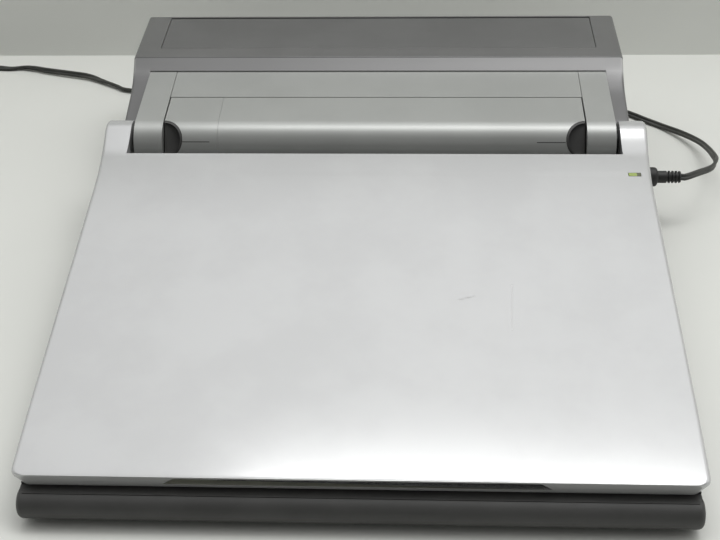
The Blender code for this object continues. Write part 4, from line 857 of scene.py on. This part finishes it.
# keyboard: dished caps in even banks, each bank on its own web with stems
keySettings = {
    "lowX": -0.162,
    "pitch": 0.019,
    "columns": 14,
    "sideX": 0.112,
    "sideColumns": 3,
    "frontY": -0.26355,
    "spaceSpan": (3.5, 9.5),
    "besideSpace": (3, 4),
    "functionSetback": 0.005,
    "functionDepth": 0.013,
    "functionCount": 13,
    "gap": 0.0012,
    "draft": 0.0022,
    "top": -0.0004,
    "web": -0.0090,
    "webThickness": 0.0012,
    "stemRadius": 0.0022,
    "stemLow": -0.0164,
    "spaceStems": (0.25, 0.75),
    "dish": 0.00035,
    "dishShares": (2.2, 1.6),
    "dishCorner": 0.0012,
    "corner": 0.0016,
    "cornerShares": (0.35, 0.5),
    "endShare": 0.5,
    "travel": 0.0030,
    # shares of the draft, and heights from the web and from the top
    "skirt": ((0, -0.0003), (0.15, 0.0012)),
    "shoulder": ((0.82, -0.0014), (0.92, -0.0004), (1.12, 0)),
}


def capMesh(width, depth):
    # cap around the origin: straight skirt, drafted sides, soft shoulder and a shallow dish
    keys = keySettings
    draft, web, top = pick(keys, "draft web top")
    halfX, halfY = (width - keys["gap"]) / 2, (depth - keys["gap"]) / 2
    steps = [(share, web + rise) for share, rise in keys["skirt"]]
    steps += [(share, top + rise) for share, rise in keys["shoulder"]]
    levels = []
    (least, gain), (across, along) = pick(keys, "cornerShares dishShares")
    for share, level in steps:
        corner, back = keys["corner"] * (least + share * gain), draft * keys["endShare"] * share
        levels.append((roundedBox(halfX - draft * share, halfY - back, corner, 3), level))
    middle = roundedBox(halfX - draft * across, halfY - draft * along, keys["dishCorner"], 3)
    return stacked("z", levels + [(middle, top - keys["dish"])])


def capField(lowX, lowY, width, depth, columns, rows=1):
    start = (lowX + width / 2, lowY + depth / 2, 0)
    return gridMesh(capMesh(width, depth), columns, rows, width, depth, start, finishes["keycap"])


def webMesh(lowX, highX, lowY, highY, margin=seam / 2):
    side, web, thick = keySettings["gap"] / 4, keySettings["web"], keySettings["webThickness"]
    return block((lowX + side, lowY + margin, web - thick), (highX - side, highY - margin, web))


def stems(places, top=None):
    radius, low, web, thick = pick(keySettings, "stemRadius stemLow web webThickness")
    return [rod("z", place, radius, low, top or web - thick / 2, 20) for place in places]


def bank(name, body, replaced, *parts):
    dressed(objectOf(name, together(*parts)), body, "keycap", [replaced], 0, 40, deckPlace)


def makeKeys():
    keys = keySettings
    pitch, low, front, columns = pick(keys, "pitch lowX frontY columns")
    high = low + pitch * columns
    for row in range(1, 5):
        lowY = front + pitch * row
        feet = stems([(x, lowY + pitch / 2) for x in (low + pitch * 2.5, high - pitch * 2.5)])
        bank(f"keyRow{row}", f"row_{row}", f"key_row_{row}", capField(low, lowY, pitch, pitch, columns),
             webMesh(low, high, lowY, lowY + pitch), *feet)
    # the front row: modifiers at both sides of the space bar, whose stems pass through their web
    spaceLow, spaceHigh = [low + pitch * count for count in keys["spaceSpan"]]
    leftCount, rightCount = keys["besideSpace"]
    leftPitch, rightPitch = (spaceLow - low) / leftCount, (high - spaceHigh) / rightCount
    rowY, wide = front + pitch / 2, spaceHigh - spaceLow
    web = objectOf("spaceWeb", webMesh(low, high, front, front + pitch))
    spaceStems = [(spaceLow + wide * share, rowY) for share in keys["spaceStems"]]
    for place in spaceStems:
        cut(web, rod("z", place, keys["stemRadius"] + seam, keys["stemLow"], keys["web"] + seam, 24))
    bank("modifierKeys", "modifiers", "modifier_keys", capField(low, front, leftPitch, pitch, leftCount),
         capField(spaceHigh, front, rightPitch, pitch, rightCount), taken(web),
         *stems([(low + leftPitch * 1.5, rowY), (spaceHigh + rightPitch * 1.5, rowY)]))
    bar = capMesh(wide, pitch)
    for corner in bar.verts:
        corner.co += Vector(((spaceLow + spaceHigh) / 2, rowY, 0))
        corner.co.z = max(corner.co.z, keys["web"] + keys["travel"] + 2 * seam)
    bmesh.ops.remove_doubles(bar, verts=bar.verts, dist=0.00001)
    bank("spaceBar", "space", "space_bar", bar, *stems(spaceStems, keys["top"] - keys["travel"]))
    sideX, rear = keys["sideX"], front + pitch * 5
    sideHigh = sideX + pitch * keys["sideColumns"]
    feet = stems([(sideX + pitch * 1.5, front + pitch * share) for share in (0.5, 2.5)])
    bank("cursorKeys", "cursors", "cursor_keys", capField(sideX, front, pitch, pitch, keys["sideColumns"], 5),
         webMesh(sideX, sideHigh, front, rear), *feet)
    count, depth = keys["functionCount"], keys["functionDepth"]
    span, lineY = (sideHigh - low) / count, rear + keys["functionSetback"]
    feet = stems([(low + span * (place + 1.5), lineY + depth / 2) for place in (0, count // 2)])
    bank("functionKeys", "functions", "function_keys", capField(low, lineY, span, depth, count),
         webMesh(low, sideHigh, lineY, lineY + depth, 0), *feet)


makeKeys()
print("keys made")

# scanner dock: round-fronted arms on a cradle, with the panel between them
dockSettings = {
    "radius": 0.0195,
    "slope": 0.061,
    "rear": 0.3823,
    "floor": 0.0463,
    "armInner": 0.1579,
    "armOuter": 0.1792,
    "cradleFront": 0.301,
    "cradleThickness": 0.0025,
    "backWall": 0.3469,
    "panelThickness": 0.003,
    "pinBore": 0.0038,
    "pinInner": 0.1677,
    "bevel": 0.0006,
}


def dockTop(y, radius=dockSettings["radius"]):
    return hinge[1] + radius + dockSettings["slope"] * (y - hinge[0])


def dockOutline(bottom, rear, radius=dockSettings["radius"], steps=40):
    drop = math.degrees(math.asin((hinge[1] - bottom) / radius))
    tangent = 90 + math.degrees(math.atan(dockSettings["slope"]))
    return arc(hinge, radius, 180 + drop, tangent, steps) + [(rear, dockTop(rear, radius)), (rear, bottom)]


def makeDock():
    dock = dockSettings
    inner, outer, floor, wall, rear = pick(dock, "armInner armOuter floor backWall rear")
    thick, panel = pick(dock, "cradleThickness panelThickness")
    arm = dockOutline(floor, rear)
    arms = objectOf("dockArms", prism(arm, "x", inner, outer))
    fuse(arms, prism(arm, "x", -outer, -inner))
    middle = inner + seam
    fuse(arms, block((-middle, dock["cradleFront"], floor), (middle, rear, floor + thick)))
    fuse(arms, block((-middle, wall, floor + thick / 2),
                     (middle, wall + thick, dockTop(wall - seam) - panel - seam)))
    for side in (-1, 1):
        ends = sorted((side * (dock["pinInner"] - seam), side * (outer + overrun)))
        cut(arms, rod("x", hinge, dock["pinBore"], *ends))
    dressed(arms, "base", "silver_dock", ["dock_frame"], dock["bevel"])
    low, halfX = wall + seam, inner - seam
    outline = [(low, dockTop(low)), (rear, dockTop(rear)), (rear, dockTop(rear) - panel),
               (low, dockTop(low) - panel)]
    sheet = objectOf("dockPanel", prism(outline, "x", -halfX, halfX))
    dressed(sheet, "base", "silver_dock", ["dock_panel"])


makeDock()

# hand scanner: cover, end cap and the dark wells that fingers lift it by
scannerSettings = {
    "halfX": 0.1568,
    "bottom": 0.0491,
    "rear": 0.3461,
    "wall": 0.002,
    "capSeam": -0.1161,
    "capGap": 0.00012,
    "wellRadius": 0.0144,
    "wellDepth": 0.008,
    "wellTilt": 37,
    "wellFloor": 0.0015,
    "wellBevel": 0.0002,
    "bevel": 0.0005,
}


def wellMesh(side, radius, depth, steps=36):
    tilt = math.radians(scannerSettings["wellTilt"])
    outward = Vector((0, -math.cos(tilt), math.sin(tilt)))
    upward = Vector((0, math.sin(tilt), math.cos(tilt)))
    surface = Vector((0, *hinge)) + outward * dockSettings["radius"]
    halfX = scannerSettings["halfX"]
    points = [(halfX + overrun, -radius), (halfX + overrun, radius)]
    points += arc((halfX, 0), radius, 90, 270, steps)
    loops = []
    for reach in (-depth, overrun):
        start = surface + outward * reach
        loops.append([tuple(start + upward * b + Vector((side * a, 0, 0))) for a, b in points])
    return loft(loops)


def makeScanner():
    scan = scannerSettings
    wall, halfX, bottom, rear, edge = pick(scan, "wall halfX bottom rear capSeam")
    radius, depth, floor = pick(scan, "wellRadius wellDepth wellFloor")
    outer = dockOutline(bottom, rear)
    inner = dockOutline(bottom - overrun, rear - wall, dockSettings["radius"] - wall)
    skin = dockOutline(bottom, rear, dockSettings["radius"] - seam)
    cover = objectOf("scannerCover", prism(outer, "x", edge + scan["capGap"], halfX))
    cut(cover, prism(inner, "x", edge + seam + wall, halfX - wall))
    cap = objectOf("scannerEndCap", prism(outer, "x", -halfX, edge))
    cut(cap, prism(inner, "x", -halfX + wall, edge + overrun))
    for item, side, replaced in ((cover, 1, "scanner_cover"), (cap, -1, "scanner_end_cap")):
        cut(item, wellMesh(side, radius, depth + seam))
        dressed(item, "scanner", "silver_dock", [replaced], scan["bevel"])
    for side, word in ((-1, "left"), (1, "right")):
        well = objectOf(word + "FingerWell", wellMesh(side, radius - seam, depth))
        joined(well, prism(skin, "x", -halfX, halfX), "INTERSECT")
        cut(well, wellMesh(side, radius - seam - floor, depth - floor))
        dressed(well, "scanner", "dark", ["finger_well_" + word], scan["wellBevel"])


makeScanner()
print("dock and scanner made")

# printer housing: the rear hump, whose scooped shoulders run down beside the dock's arms
housingSettings = {
    "halfX": 0.193,
    "top": 0.0923,
    "ridge": 0.391,
    "rear": 0.463,
    "rearRounding": 0.003,
    "sideRounding": 0.0025,
    "wall": 0.0025,
    "bottom": 0.0435,
    "shoulderFoot": 0.0463,
    "shoulderInner": 0.1796,
    "shoulderReach": 0.0565,
    "shoulderShares": ((0.0, 1.0), (0.143, 0.827), (0.265, 0.709), (0.442, 0.604),
                       (0.726, 0.512), (0.945, 0.442), (1.0, 0.414)),
    "sideSpread": 0.0014,
    "faceFoot": (0.3829, 0.08438),
    "coverHalfX": 0.1734,
    "coverFront": 0.406,
    "coverHinge": (0.4563, 0.0898),
    "coverHingeRadius": 0.0025,
    "coverStub": (0.0012, 0.0025),
    "coverSeam": 0.0004,
    "boss": 0.005,
    "bevel": 0.0007,
}


def smoothed(points, parts):
    # a smooth curve through the points, with parts steps in each span
    points = [np.array(point) for point in (points[0], *points, points[-1])]
    fine = []
    for four in zip(points, points[1:], points[2:], points[3:]):
        fine += [tuple(curveAt(*four, part / parts)) for part in range(parts)]
    return fine + [tuple(points[-1])]


def makeHousing():
    hump = housingSettings
    top, ridge, back, bottom, wall = pick(hump, "top ridge rear bottom wall")
    rounding, inner, reach, boss = pick(hump, "rearRounding shoulderInner shoulderReach boss")
    faceY, faceZ = hump["faceFoot"]
    low = hump["shoulderFoot"] + seam
    rise = top - low
    rear = arc((back - rounding, top - rounding), rounding, 90, 0, 8) + [(back, bottom)]
    shoulder = smoothed(hump["shoulderShares"][:-1], 4) + [hump["shoulderShares"][-1]]
    sideFront = [(ridge - reach * a, low + rise * b) for a, b in reversed(shoulder)]
    lean = (ridge - faceY) / (top - faceZ)
    middleFront = [(faceY + max(z - faceZ, 0) * lean, z) for y, z in sideFront]
    footShade = [(faceY, bottom), (faceY, low)]
    side = footShade + [(ridge - reach, low)] + sideFront + rear
    ends = quarter(hump["sideRounding"], 6)
    half = [(hump["halfX"] - pulled, inset(side, depth)) for depth, pulled in ends]
    half += [(inner, side), (inner - seam, footShade + [(faceY, low + wall)] + middleFront + rear)]
    loops = []
    for x, outline in half:
        # the sides spread a little towards the foot
        spreadHere = hump["sideSpread"] if x > inner else 0
        loops.append([(-x - spreadHere * (top - b) / rise, a, b) for a, b in outline])
    loops += [[(-x, a, b) for x, a, b in loop] for loop in reversed(loops)]
    body = loft(loops)
    bmesh.ops.triangulate(body, faces=[face for face in body.faces if len(face.verts) > 4])
    housing = objectOf("printerHousing", body)
    hollow = inset([(faceY, bottom), (faceY, faceZ), (ridge, top)] + rear, wall)
    for corner in (0, -1):
        hollow[corner] = (hollow[corner][0], bottom - overrun)
    inside = hump["halfX"] - wall
    cut(housing, prism(hollow, "x", -inside, inside))
    coverX, gap = hump["coverHalfX"], hump["coverSeam"]
    hingeY, hingeZ = hump["coverHinge"]
    bossLow = top - wall - boss
    for sign in (-1, 1):
        near, far = sorted((sign * (coverX - gap), sign * (coverX + boss)))
        fuse(housing, block((near, hingeY - boss, bossLow), (far, hingeY + boss / 2, top - wall / 2)))
    cut(housing, block((-coverX - gap, hump["coverFront"] - gap, bossLow - overrun),
                       (coverX + gap, hingeY + hump["coverHingeRadius"] + gap, top + overrun)))
    stubRadius, stubReach = hump["coverStub"]
    reach = coverX + stubReach + seam
    cut(housing, rod("x", (hingeY, hingeZ), stubRadius + seam, -reach, reach, 24))
    dressed(housing, "base", "grey", ["printer_housing"], hump["bevel"], 30, segments=3)


def makeCover():
    hump = housingSettings
    front, top, hingeAt, radius, halfX = pick(hump, "coverFront top coverHinge coverHingeRadius coverHalfX")
    outline = [(front, top), (front, hingeAt[1]), (hingeAt[0] - radius, hingeAt[1])]
    outline += arc(hingeAt, radius, 210, 450, 24)
    cover = objectOf("printerCover", prism(outline, "x", -halfX, halfX), coverPaint)
    stubRadius, stubReach = hump["coverStub"]
    fuse(cover, rod("x", hingeAt, stubRadius, -halfX - stubReach, halfX + stubReach, 24))
    dressed(cover, "cover", "dark", ["printer_cover"])


makeHousing()
makeCover()
print("housing and cover made")

# low-voltage plug in the side jack: barrel, round head and a ribbed neck
plugSettings = {
    "barrelRadius": 0.00275,
    "barrelStart": 0.1885,
    "face": 0.1974,
    "headRadius": 0.00735,
    "headEnd": 0.2127,
    "headChamfer": 0.0006,
    "headRound": (0.0020, 0.0026),
    "neckRadius": 0.0046,
    "neckEnd": 0.2304,
    "neckChamfer": (0.0004, 0.0002),
    "ribStart": 0.2199,
    "ribPitch": 0.0026,
    "ribSlot": 0.0010,
    "ribSlope": (0.0002, 0.0001),
    "ribDepth": 0.0012,
    "ribCount": 4,
    "pinBore": 0.0011,
}


def makePlug():
    plug = plugSettings
    face, headEnd = plug["face"] + seam, plug["headEnd"]
    barrel, start, head, neck = pick(plug, "barrelRadius barrelStart headRadius neckRadius")
    chamfer, (inward, along), (before, after) = pick(plug, "headChamfer headRound ribSlope")
    profile = [(barrel, start), (barrel, face), (head - chamfer, face), (head, face + chamfer),
               (head, headEnd - along)]
    for angle in (0.5, 1.0, 1.5):
        profile.append((head - inward * (1 - math.cos(angle)), headEnd - along + along * math.sin(angle)))
    profile += [(neck, headEnd + plug["neckChamfer"][0])]
    for rib in range(plug["ribCount"]):
        near = plug["ribStart"] + rib * plug["ribPitch"]
        far, low = near + plug["ribSlot"], neck - plug["ribDepth"]
        profile += [(neck, near - before), (low, near + after), (low, far - after), (neck, far + before)]
    profile += [(neck - plug["neckChamfer"][0], plug["neckEnd"] - plug["neckChamfer"][1])]
    item = objectOf("leadPlug", turned("x", caseSettings["jack"], profile, 56))
    cut(item, rod("x", caseSettings["jack"], plug["pinBore"], start - overrun, plug["face"], 20))
    return dressed(item, "base", "black", ["power_plug"], 0.0002, 40)


plugItem = makePlug()
print("plug made")

# flat twin lead: over the table, round the machine, into a tied coil and on to its adapter
leadSettings = {
    "length": 1.800,
    "radius": 0.0020,
    "width": 0.0052,
    "coilWidth": 0.0045,
    "thickness": 0.0026,
    "coilThickness": 0.0023,
    "waist": 38,
    "exit": (0.2304, 0.07715, 0.038),
    "route": [
        (0.2451, 0.08505, 0.0365), (0.2584, 0.09905, 0.0320), (0.2655, 0.11625, 0.0270),
        (0.2674, 0.13135, 0.0220), (0.2672, 0.15115, 0.0160), (0.2642, 0.17155, 0.0100),
        (0.2551, 0.18975, 0.0058), (0.2412, 0.20705, 0.0022), (0.2284, 0.21715, 0.0022),
        (0.2130, 0.22995, 0.0021), (0.1880, 0.24695, 0.0021), (0.1400, 0.25795, 0.0021),
        (0.0600, 0.26395, 0.0021), (-0.0302, 0.26795, 0.0021), (-0.1205, 0.26395, 0.0021),
        (-0.1908, 0.26415, 0.0021), (-0.2302, 0.26955, 0.0021), (-0.2401, 0.27505, 0.0022),
        (-0.2503, 0.28115, 0.0026), (-0.2634, 0.28885, 0.0030), (-0.2752, 0.29335, 0.0033),
        (-0.2896, 0.29715, 0.0033), (-0.3145, 0.30405, 0.0028), (-0.3370, 0.31145, 0.0023),
        (-0.3490, 0.31085, 0.0021), (-0.3632, 0.31125, 0.0021),
    ],
    "straightEnd": 0.004,
    "leadIn": (0.022, 0.010, 0),
    "coilCentre": (-0.4330, 0.2745),
    "coilOuter": 0.0368,
    "coilPitch": 0.0046,
    "layerTurns": 1.875,
    "swapTurns": 0.5,
    "coilLift": 0.0015,
    "layerRise": 0.0046,
    "startAngle": 90,
    "pointsPerTurn": 48,
    "step": 0.003,
    "groundGap": 0.0001,
    "groundHeights": (0.003, 0.011),
    "narrowing": (0.06, 0.01),
    "coilExit": 0.008,
    # metres along the lead and the twist there in degrees: 0 lies flat and 90 stands on edge
    "twist": ((0, 129), (0.03, 115), (0.056, 70), (0.075, 30), (0.10, 20), (0.135, 34), (0.16, 44),
              (0.20, 50), (0.27, 40), (0.34, 0), (0.52, 0), (0.62, -44), (0.668, -44), (0.695, 52),
              (0.740, 60), (0.763, 142), (0.782, 200), (0.845, 270), (1.9, 270)),
    "tieWidth": 0.006,
    "tieThickness": 0.0010,
    "tieClearance": 0.0004,
    "tieRounding": 0.0003,
    "tieAngle": 20,
    "adapterSize": (0.034, 0.048, 0.030),
    "adapterCorner": 0.003,
    "adapterRounding": 0.004,
    "adapterGroove": (0.0004, 0.0005),
    "grooveShare": 0.36,
}


def lengthsAlong(points):
    return np.cumsum([0] + [(b - a).length for a, b in zip(points, points[1:])])


def coilPoints():
    lead = leadSettings
    outer, pitch, layer, swap = pick(lead, "coilOuter coilPitch layerTurns swapTurns")
    (centreX, centreY), turnsAll = lead["coilCentre"], layer * 2 + swap
    low = lead["radius"] + lead["coilLift"]
    points = []
    for turns in spread(0, turnsAll, int(round(turnsAll * lead["pointsPerTurn"]))):
        angle = math.radians(lead["startAngle"]) + 2 * math.pi * turns
        radius = outer - pitch * turnsAll / 2 + pitch * abs(turns - turnsAll / 2)
        level = low + lead["layerRise"] * eased((turns - layer) / swap)
        points.append(Vector((centreX + radius * math.cos(angle), centreY + radius * math.sin(angle), level)))
    return points


def evenRun(points, step, parts=16):
    # a smooth run through the points, evenly spaced; the first and last points only give direction
    fine = []
    for four in zip(points, points[1:], points[2:], points[3:]):
        fine += [curveAt(*four, part / parts) for part in range(parts)]
    fine.append(points[-2])
    lengths = lengthsAlong(fine)
    places = np.array([tuple(point) for point in fine])
    stops = np.linspace(0, lengths[-1], max(2, int(round(lengths[-1] / step))) + 1)
    columns = [np.interp(stops, lengths, places[:, axis]) for axis in range(3)]
    return [Vector(map(float, place)) for place in zip(*columns)]


def leadPath():
    lead = leadSettings
    coil = coilPoints()
    away = (coil[0] - coil[1]).normalized()
    start, ahead = Vector(lead["exit"]), Vector((lead["straightEnd"], 0, 0))
    places = [start - ahead, start, start + ahead] + [Vector(point) for point in lead["route"]]
    places += [coil[0] + away * reach for reach in lead["leadIn"]] + [coil[1]]
    run = evenRun(places, lead["step"])
    # what is left of the lead's length runs from the coil to the adapter
    spare = lead["length"] - lengthsAlong(run)[-1] - lengthsAlong(coil)[-1]
    end, height = coil[-1], lead["adapterSize"][2] / 2
    rise = height - end.z
    inlet = Vector((end.x, end.y - math.sqrt(spare * spare - rise * rise), height))
    out, short = (end - coil[-2]).normalized() * lead["coilExit"], Vector((0, lead["coilExit"], 0))
    last = [coil[-2], end, end + out, (end + inlet) / 2, inlet + short, inlet, inlet - short]
    return run + coil[1:] + evenRun(last, lead["step"])[1:], inlet, len(run)


def twinSection(width, thickness, points=10):
    # figure of eight: two round cores side by side
    radius, waist = thickness / 2, leadSettings["waist"]
    right = arc((width / 2 - radius, 0), radius, -180 + waist, 180 - waist, points)
    return right + [(-x, -y) for x, y in right]


def makeLead():
    lead = leadSettings
    path, inlet, runCount = leadPath()
    lengths = lengthsAlong(path)
    stations = np.array(lead["twist"])
    groundLow, groundHigh = lead["groundHeights"]
    ahead, behind = lead["narrowing"]
    loops = []
    for index, point in enumerate(path):
        tangent = (path[min(index + 1, len(path) - 1)] - path[max(index - 1, 0)]).normalized()
        side = tangent.cross(Vector((0, 0, 1))).normalized()
        upward = side.cross(tangent)
        twist = math.radians(float(np.interp(lengths[index], stations[:, 0], stations[:, 1])))
        coiled = eased((lengths[index] - lengths[runCount] + ahead) / (ahead - behind))
        width = lead["width"] + (lead["coilWidth"] - lead["width"]) * coiled
        thick = lead["thickness"] + (lead["coilThickness"] - lead["thickness"]) * coiled
        centre = point.copy()
        if index < runCount:
            # where it lies on the table, its lowest edge touches
            half = thick / 2 + (width - thick) / 2 * abs(math.sin(twist))
            ground = 1 - eased((point.z - groundLow) / (groundHigh - groundLow))
            centre.z += max((half + lead["groundGap"] - lead["radius"]) * ground, half - point.z)
        path[index] = centre
        wide = side * math.cos(twist) + upward * math.sin(twist)
        thin = upward * math.cos(twist) - side * math.sin(twist)
        loops.append([centre + wide * a + thin * b for a, b in twinSection(width, thick)])
    item = objectOf("flatLead", loft(loops), leadSheath)
    dressed(item, "base", "black", ["power_lead", "lead_coil", "lead_end"], 0, 60, Matrix())
    print("lead on its path, mm:", round(float(lengths[-1]) * 1000, 1))
    return item, path, inlet


def makeTie():
    lead = leadSettings
    radius, outer, lift, grip, wide = pick(lead, "radius coilOuter coilLift tieClearance tieWidth")
    inner = outer - lead["coilPitch"] * (lead["layerTurns"] + lead["swapTurns"] / 2)
    hole = rectangle((inner - radius - grip, lift - grip),
                     (outer + radius + grip, lift + 2 * radius + lead["layerRise"] + grip))
    around = inset(hole, -lead["tieThickness"])
    band = objectOf("coilTie", roundedPrism(around, "y", -wide / 2, wide / 2, lead["tieRounding"], 2))
    cut(band, prism(hole, "y", -wide, wide))
    turn = Matrix.Rotation(math.radians(lead["tieAngle"]), 4, "Z")
    place = Matrix.Translation((*lead["coilCentre"], 0)) @ turn
    return dressed(band, "base", "black", ["lead_tie"], 0.0002, place=place)


def makeAdapter(inlet):
    # plug-in adapter: two half shells with a parting groove
    lead = leadSettings
    (wide, deep, tall), (grooveDepth, grooveWidth) = pick(lead, "adapterSize adapterGroove")
    box = roundedBox(wide / 2, tall / 2, lead["adapterCorner"], 6)
    outline = [(x + inlet.x, z + tall / 2) for x, z in box]
    rear = inlet.y - deep
    body = objectOf("plugInAdapter", roundedPrism(outline, "y", rear, inlet.y, lead["adapterRounding"], 8))
    groove = inlet.y - deep * lead["grooveShare"]
    ring = objectOf("grooveTool", prism(inset(outline, -overrun / 4), "y", groove, groove + grooveWidth))
    cut(ring, prism(inset(outline, grooveDepth), "y", rear, inlet.y))
    cut(body, taken(ring))
    return dressed(body, "base", "black", ["power_adapter"], 0.0002, place=Matrix())


leadItem, leadRoute, leadInlet = makeLead()
tieItem = makeTie()
adapterItem = makeAdapter(leadInlet)
print("lead made")

# the table, the pale board behind it, and soft studio light
stageSettings = {
    "wallDepth": 0.339,
    "wallHeight": 0.50,
    "wallLean": 0.12,
    "reach": 3.0,
    "table": (0.76, 0.77, 0.73),
    "wall": (0.90, 0.915, 0.87),
    "skyTop": (1.0, 1.0, 1.0),
    "skyLevel": (0.62, 0.62, 0.61),
    "skyTopPlace": 0.9,
    "skyFront": (-0.55, 0.15),
    "skyRear": (0.20, 1.42),
    "skyLeft": (-0.7, 0.76),
    "skyRight": (0.1, 1),
    "skySeen": 1.05,
    "lamps": (
        {"name": "rearSoftbox", "place": (0.30, 0.41, 2.05), "size": (1.5, 0.60),
         "tilt": -12, "power": 11},
        {"name": "topSoftbox", "place": (0.9, 0.05, 2.0), "size": (1.0, 0.6),
         "tilt": 0, "power": 4},
    ),
}


def stagePlane(name, corners, colour, seeThrough=False):
    mesh = bmesh.new()
    mesh.faces.new([mesh.verts.new(corner) for corner in corners])
    item = added(name, meshData(name, mesh))
    finish = Finish(name + "Finish", colour, 0.75, Specular_IOR_Level=0.25)
    finish.feed(Base_Color=finish.mottled(scaled(colour, 1.01), scaled(colour, 0.985), 3))
    if seeThrough:
        # seen from behind, the board isn't there
        behind = finish.node("ShaderNodeNewGeometry", output="Backfacing")
        clear = finish.node("ShaderNodeBsdfTransparent")
        solid = Wire(finish, finish.shader.outputs[0])
        mixed = finish.node("ShaderNodeMixShader", {}, {0: behind, 1: solid, 2: clear})
        finish.tree.links.new(mixed.socket, finish.tree.nodes["Material Output"].inputs["Surface"])
    item.data.materials.append(finish.material)
    item.visible_shadow = not seeThrough


def makeSky():
    stage = stageSettings
    world = bpy.data.worlds.new("softRoom")
    bpy.context.scene.world = world
    world.use_nodes = True
    graph = Graph(world.node_tree)
    background = world.node_tree.nodes["Background"]
    direction = graph.node("ShaderNodeTexCoord", output="Generated")
    side, depth, rise = [graph.node("ShaderNodeSeparateXYZ", {}, {0: direction}, axis) for axis in "XYZ"]
    stops = ((0.0, stage["skyLevel"]), (stage["skyTopPlace"], stage["skyTop"]))
    sky = graph.node("ShaderNodeValToRGB", {"stops": stops}, {0: rise})
    world.node_tree.links.new(sky.socket, background.inputs["Color"])
    # the front of the room is dark, so the machine's near faces fall into shade, and the left a little
    strength = 1
    for axis, ends in ((depth, "skyFront skyRear"), (side, "skyLeft skyRight")):
        (start, low), (end, high) = pick(stage, ends)
        strength = (axis.ramp(start, end) * (high - low) + low) * strength
    # the camera itself sees an even, pale room on every side
    seen = graph.node("ShaderNodeLightPath", output="Is Camera Ray")
    strength = strength * (1 - seen) + seen * stage["skySeen"]
    world.node_tree.links.new(strength.socket, background.inputs["Strength"])


def makeStage():
    reach, depth, height, lean = pick(stageSettings, "reach wallDepth wallHeight wallLean")
    flat = rectangle((-reach, -reach), (reach, reach))
    stagePlane("table", [(x, y, 0) for x, y in flat], stageSettings["table"])
    upright = [(x, depth + lean * z / height, z) for x, z in rectangle((-reach, 0), (reach, height))]
    stagePlane("backBoard", upright, stageSettings["wall"], True)
    makeSky()
    for lamp in stageSettings["lamps"]:
        data = bpy.data.lights.new(lamp["name"], "AREA")
        data.shape = "RECTANGLE"
        data.size, data.size_y = lamp["size"]
        data.energy = lamp["power"]
        item = added(lamp["name"], data)
        item.location = lamp["place"]
        item.rotation_euler = (math.radians(lamp["tilt"]), 0, 0)


makeStage()
print("stage and lights made")
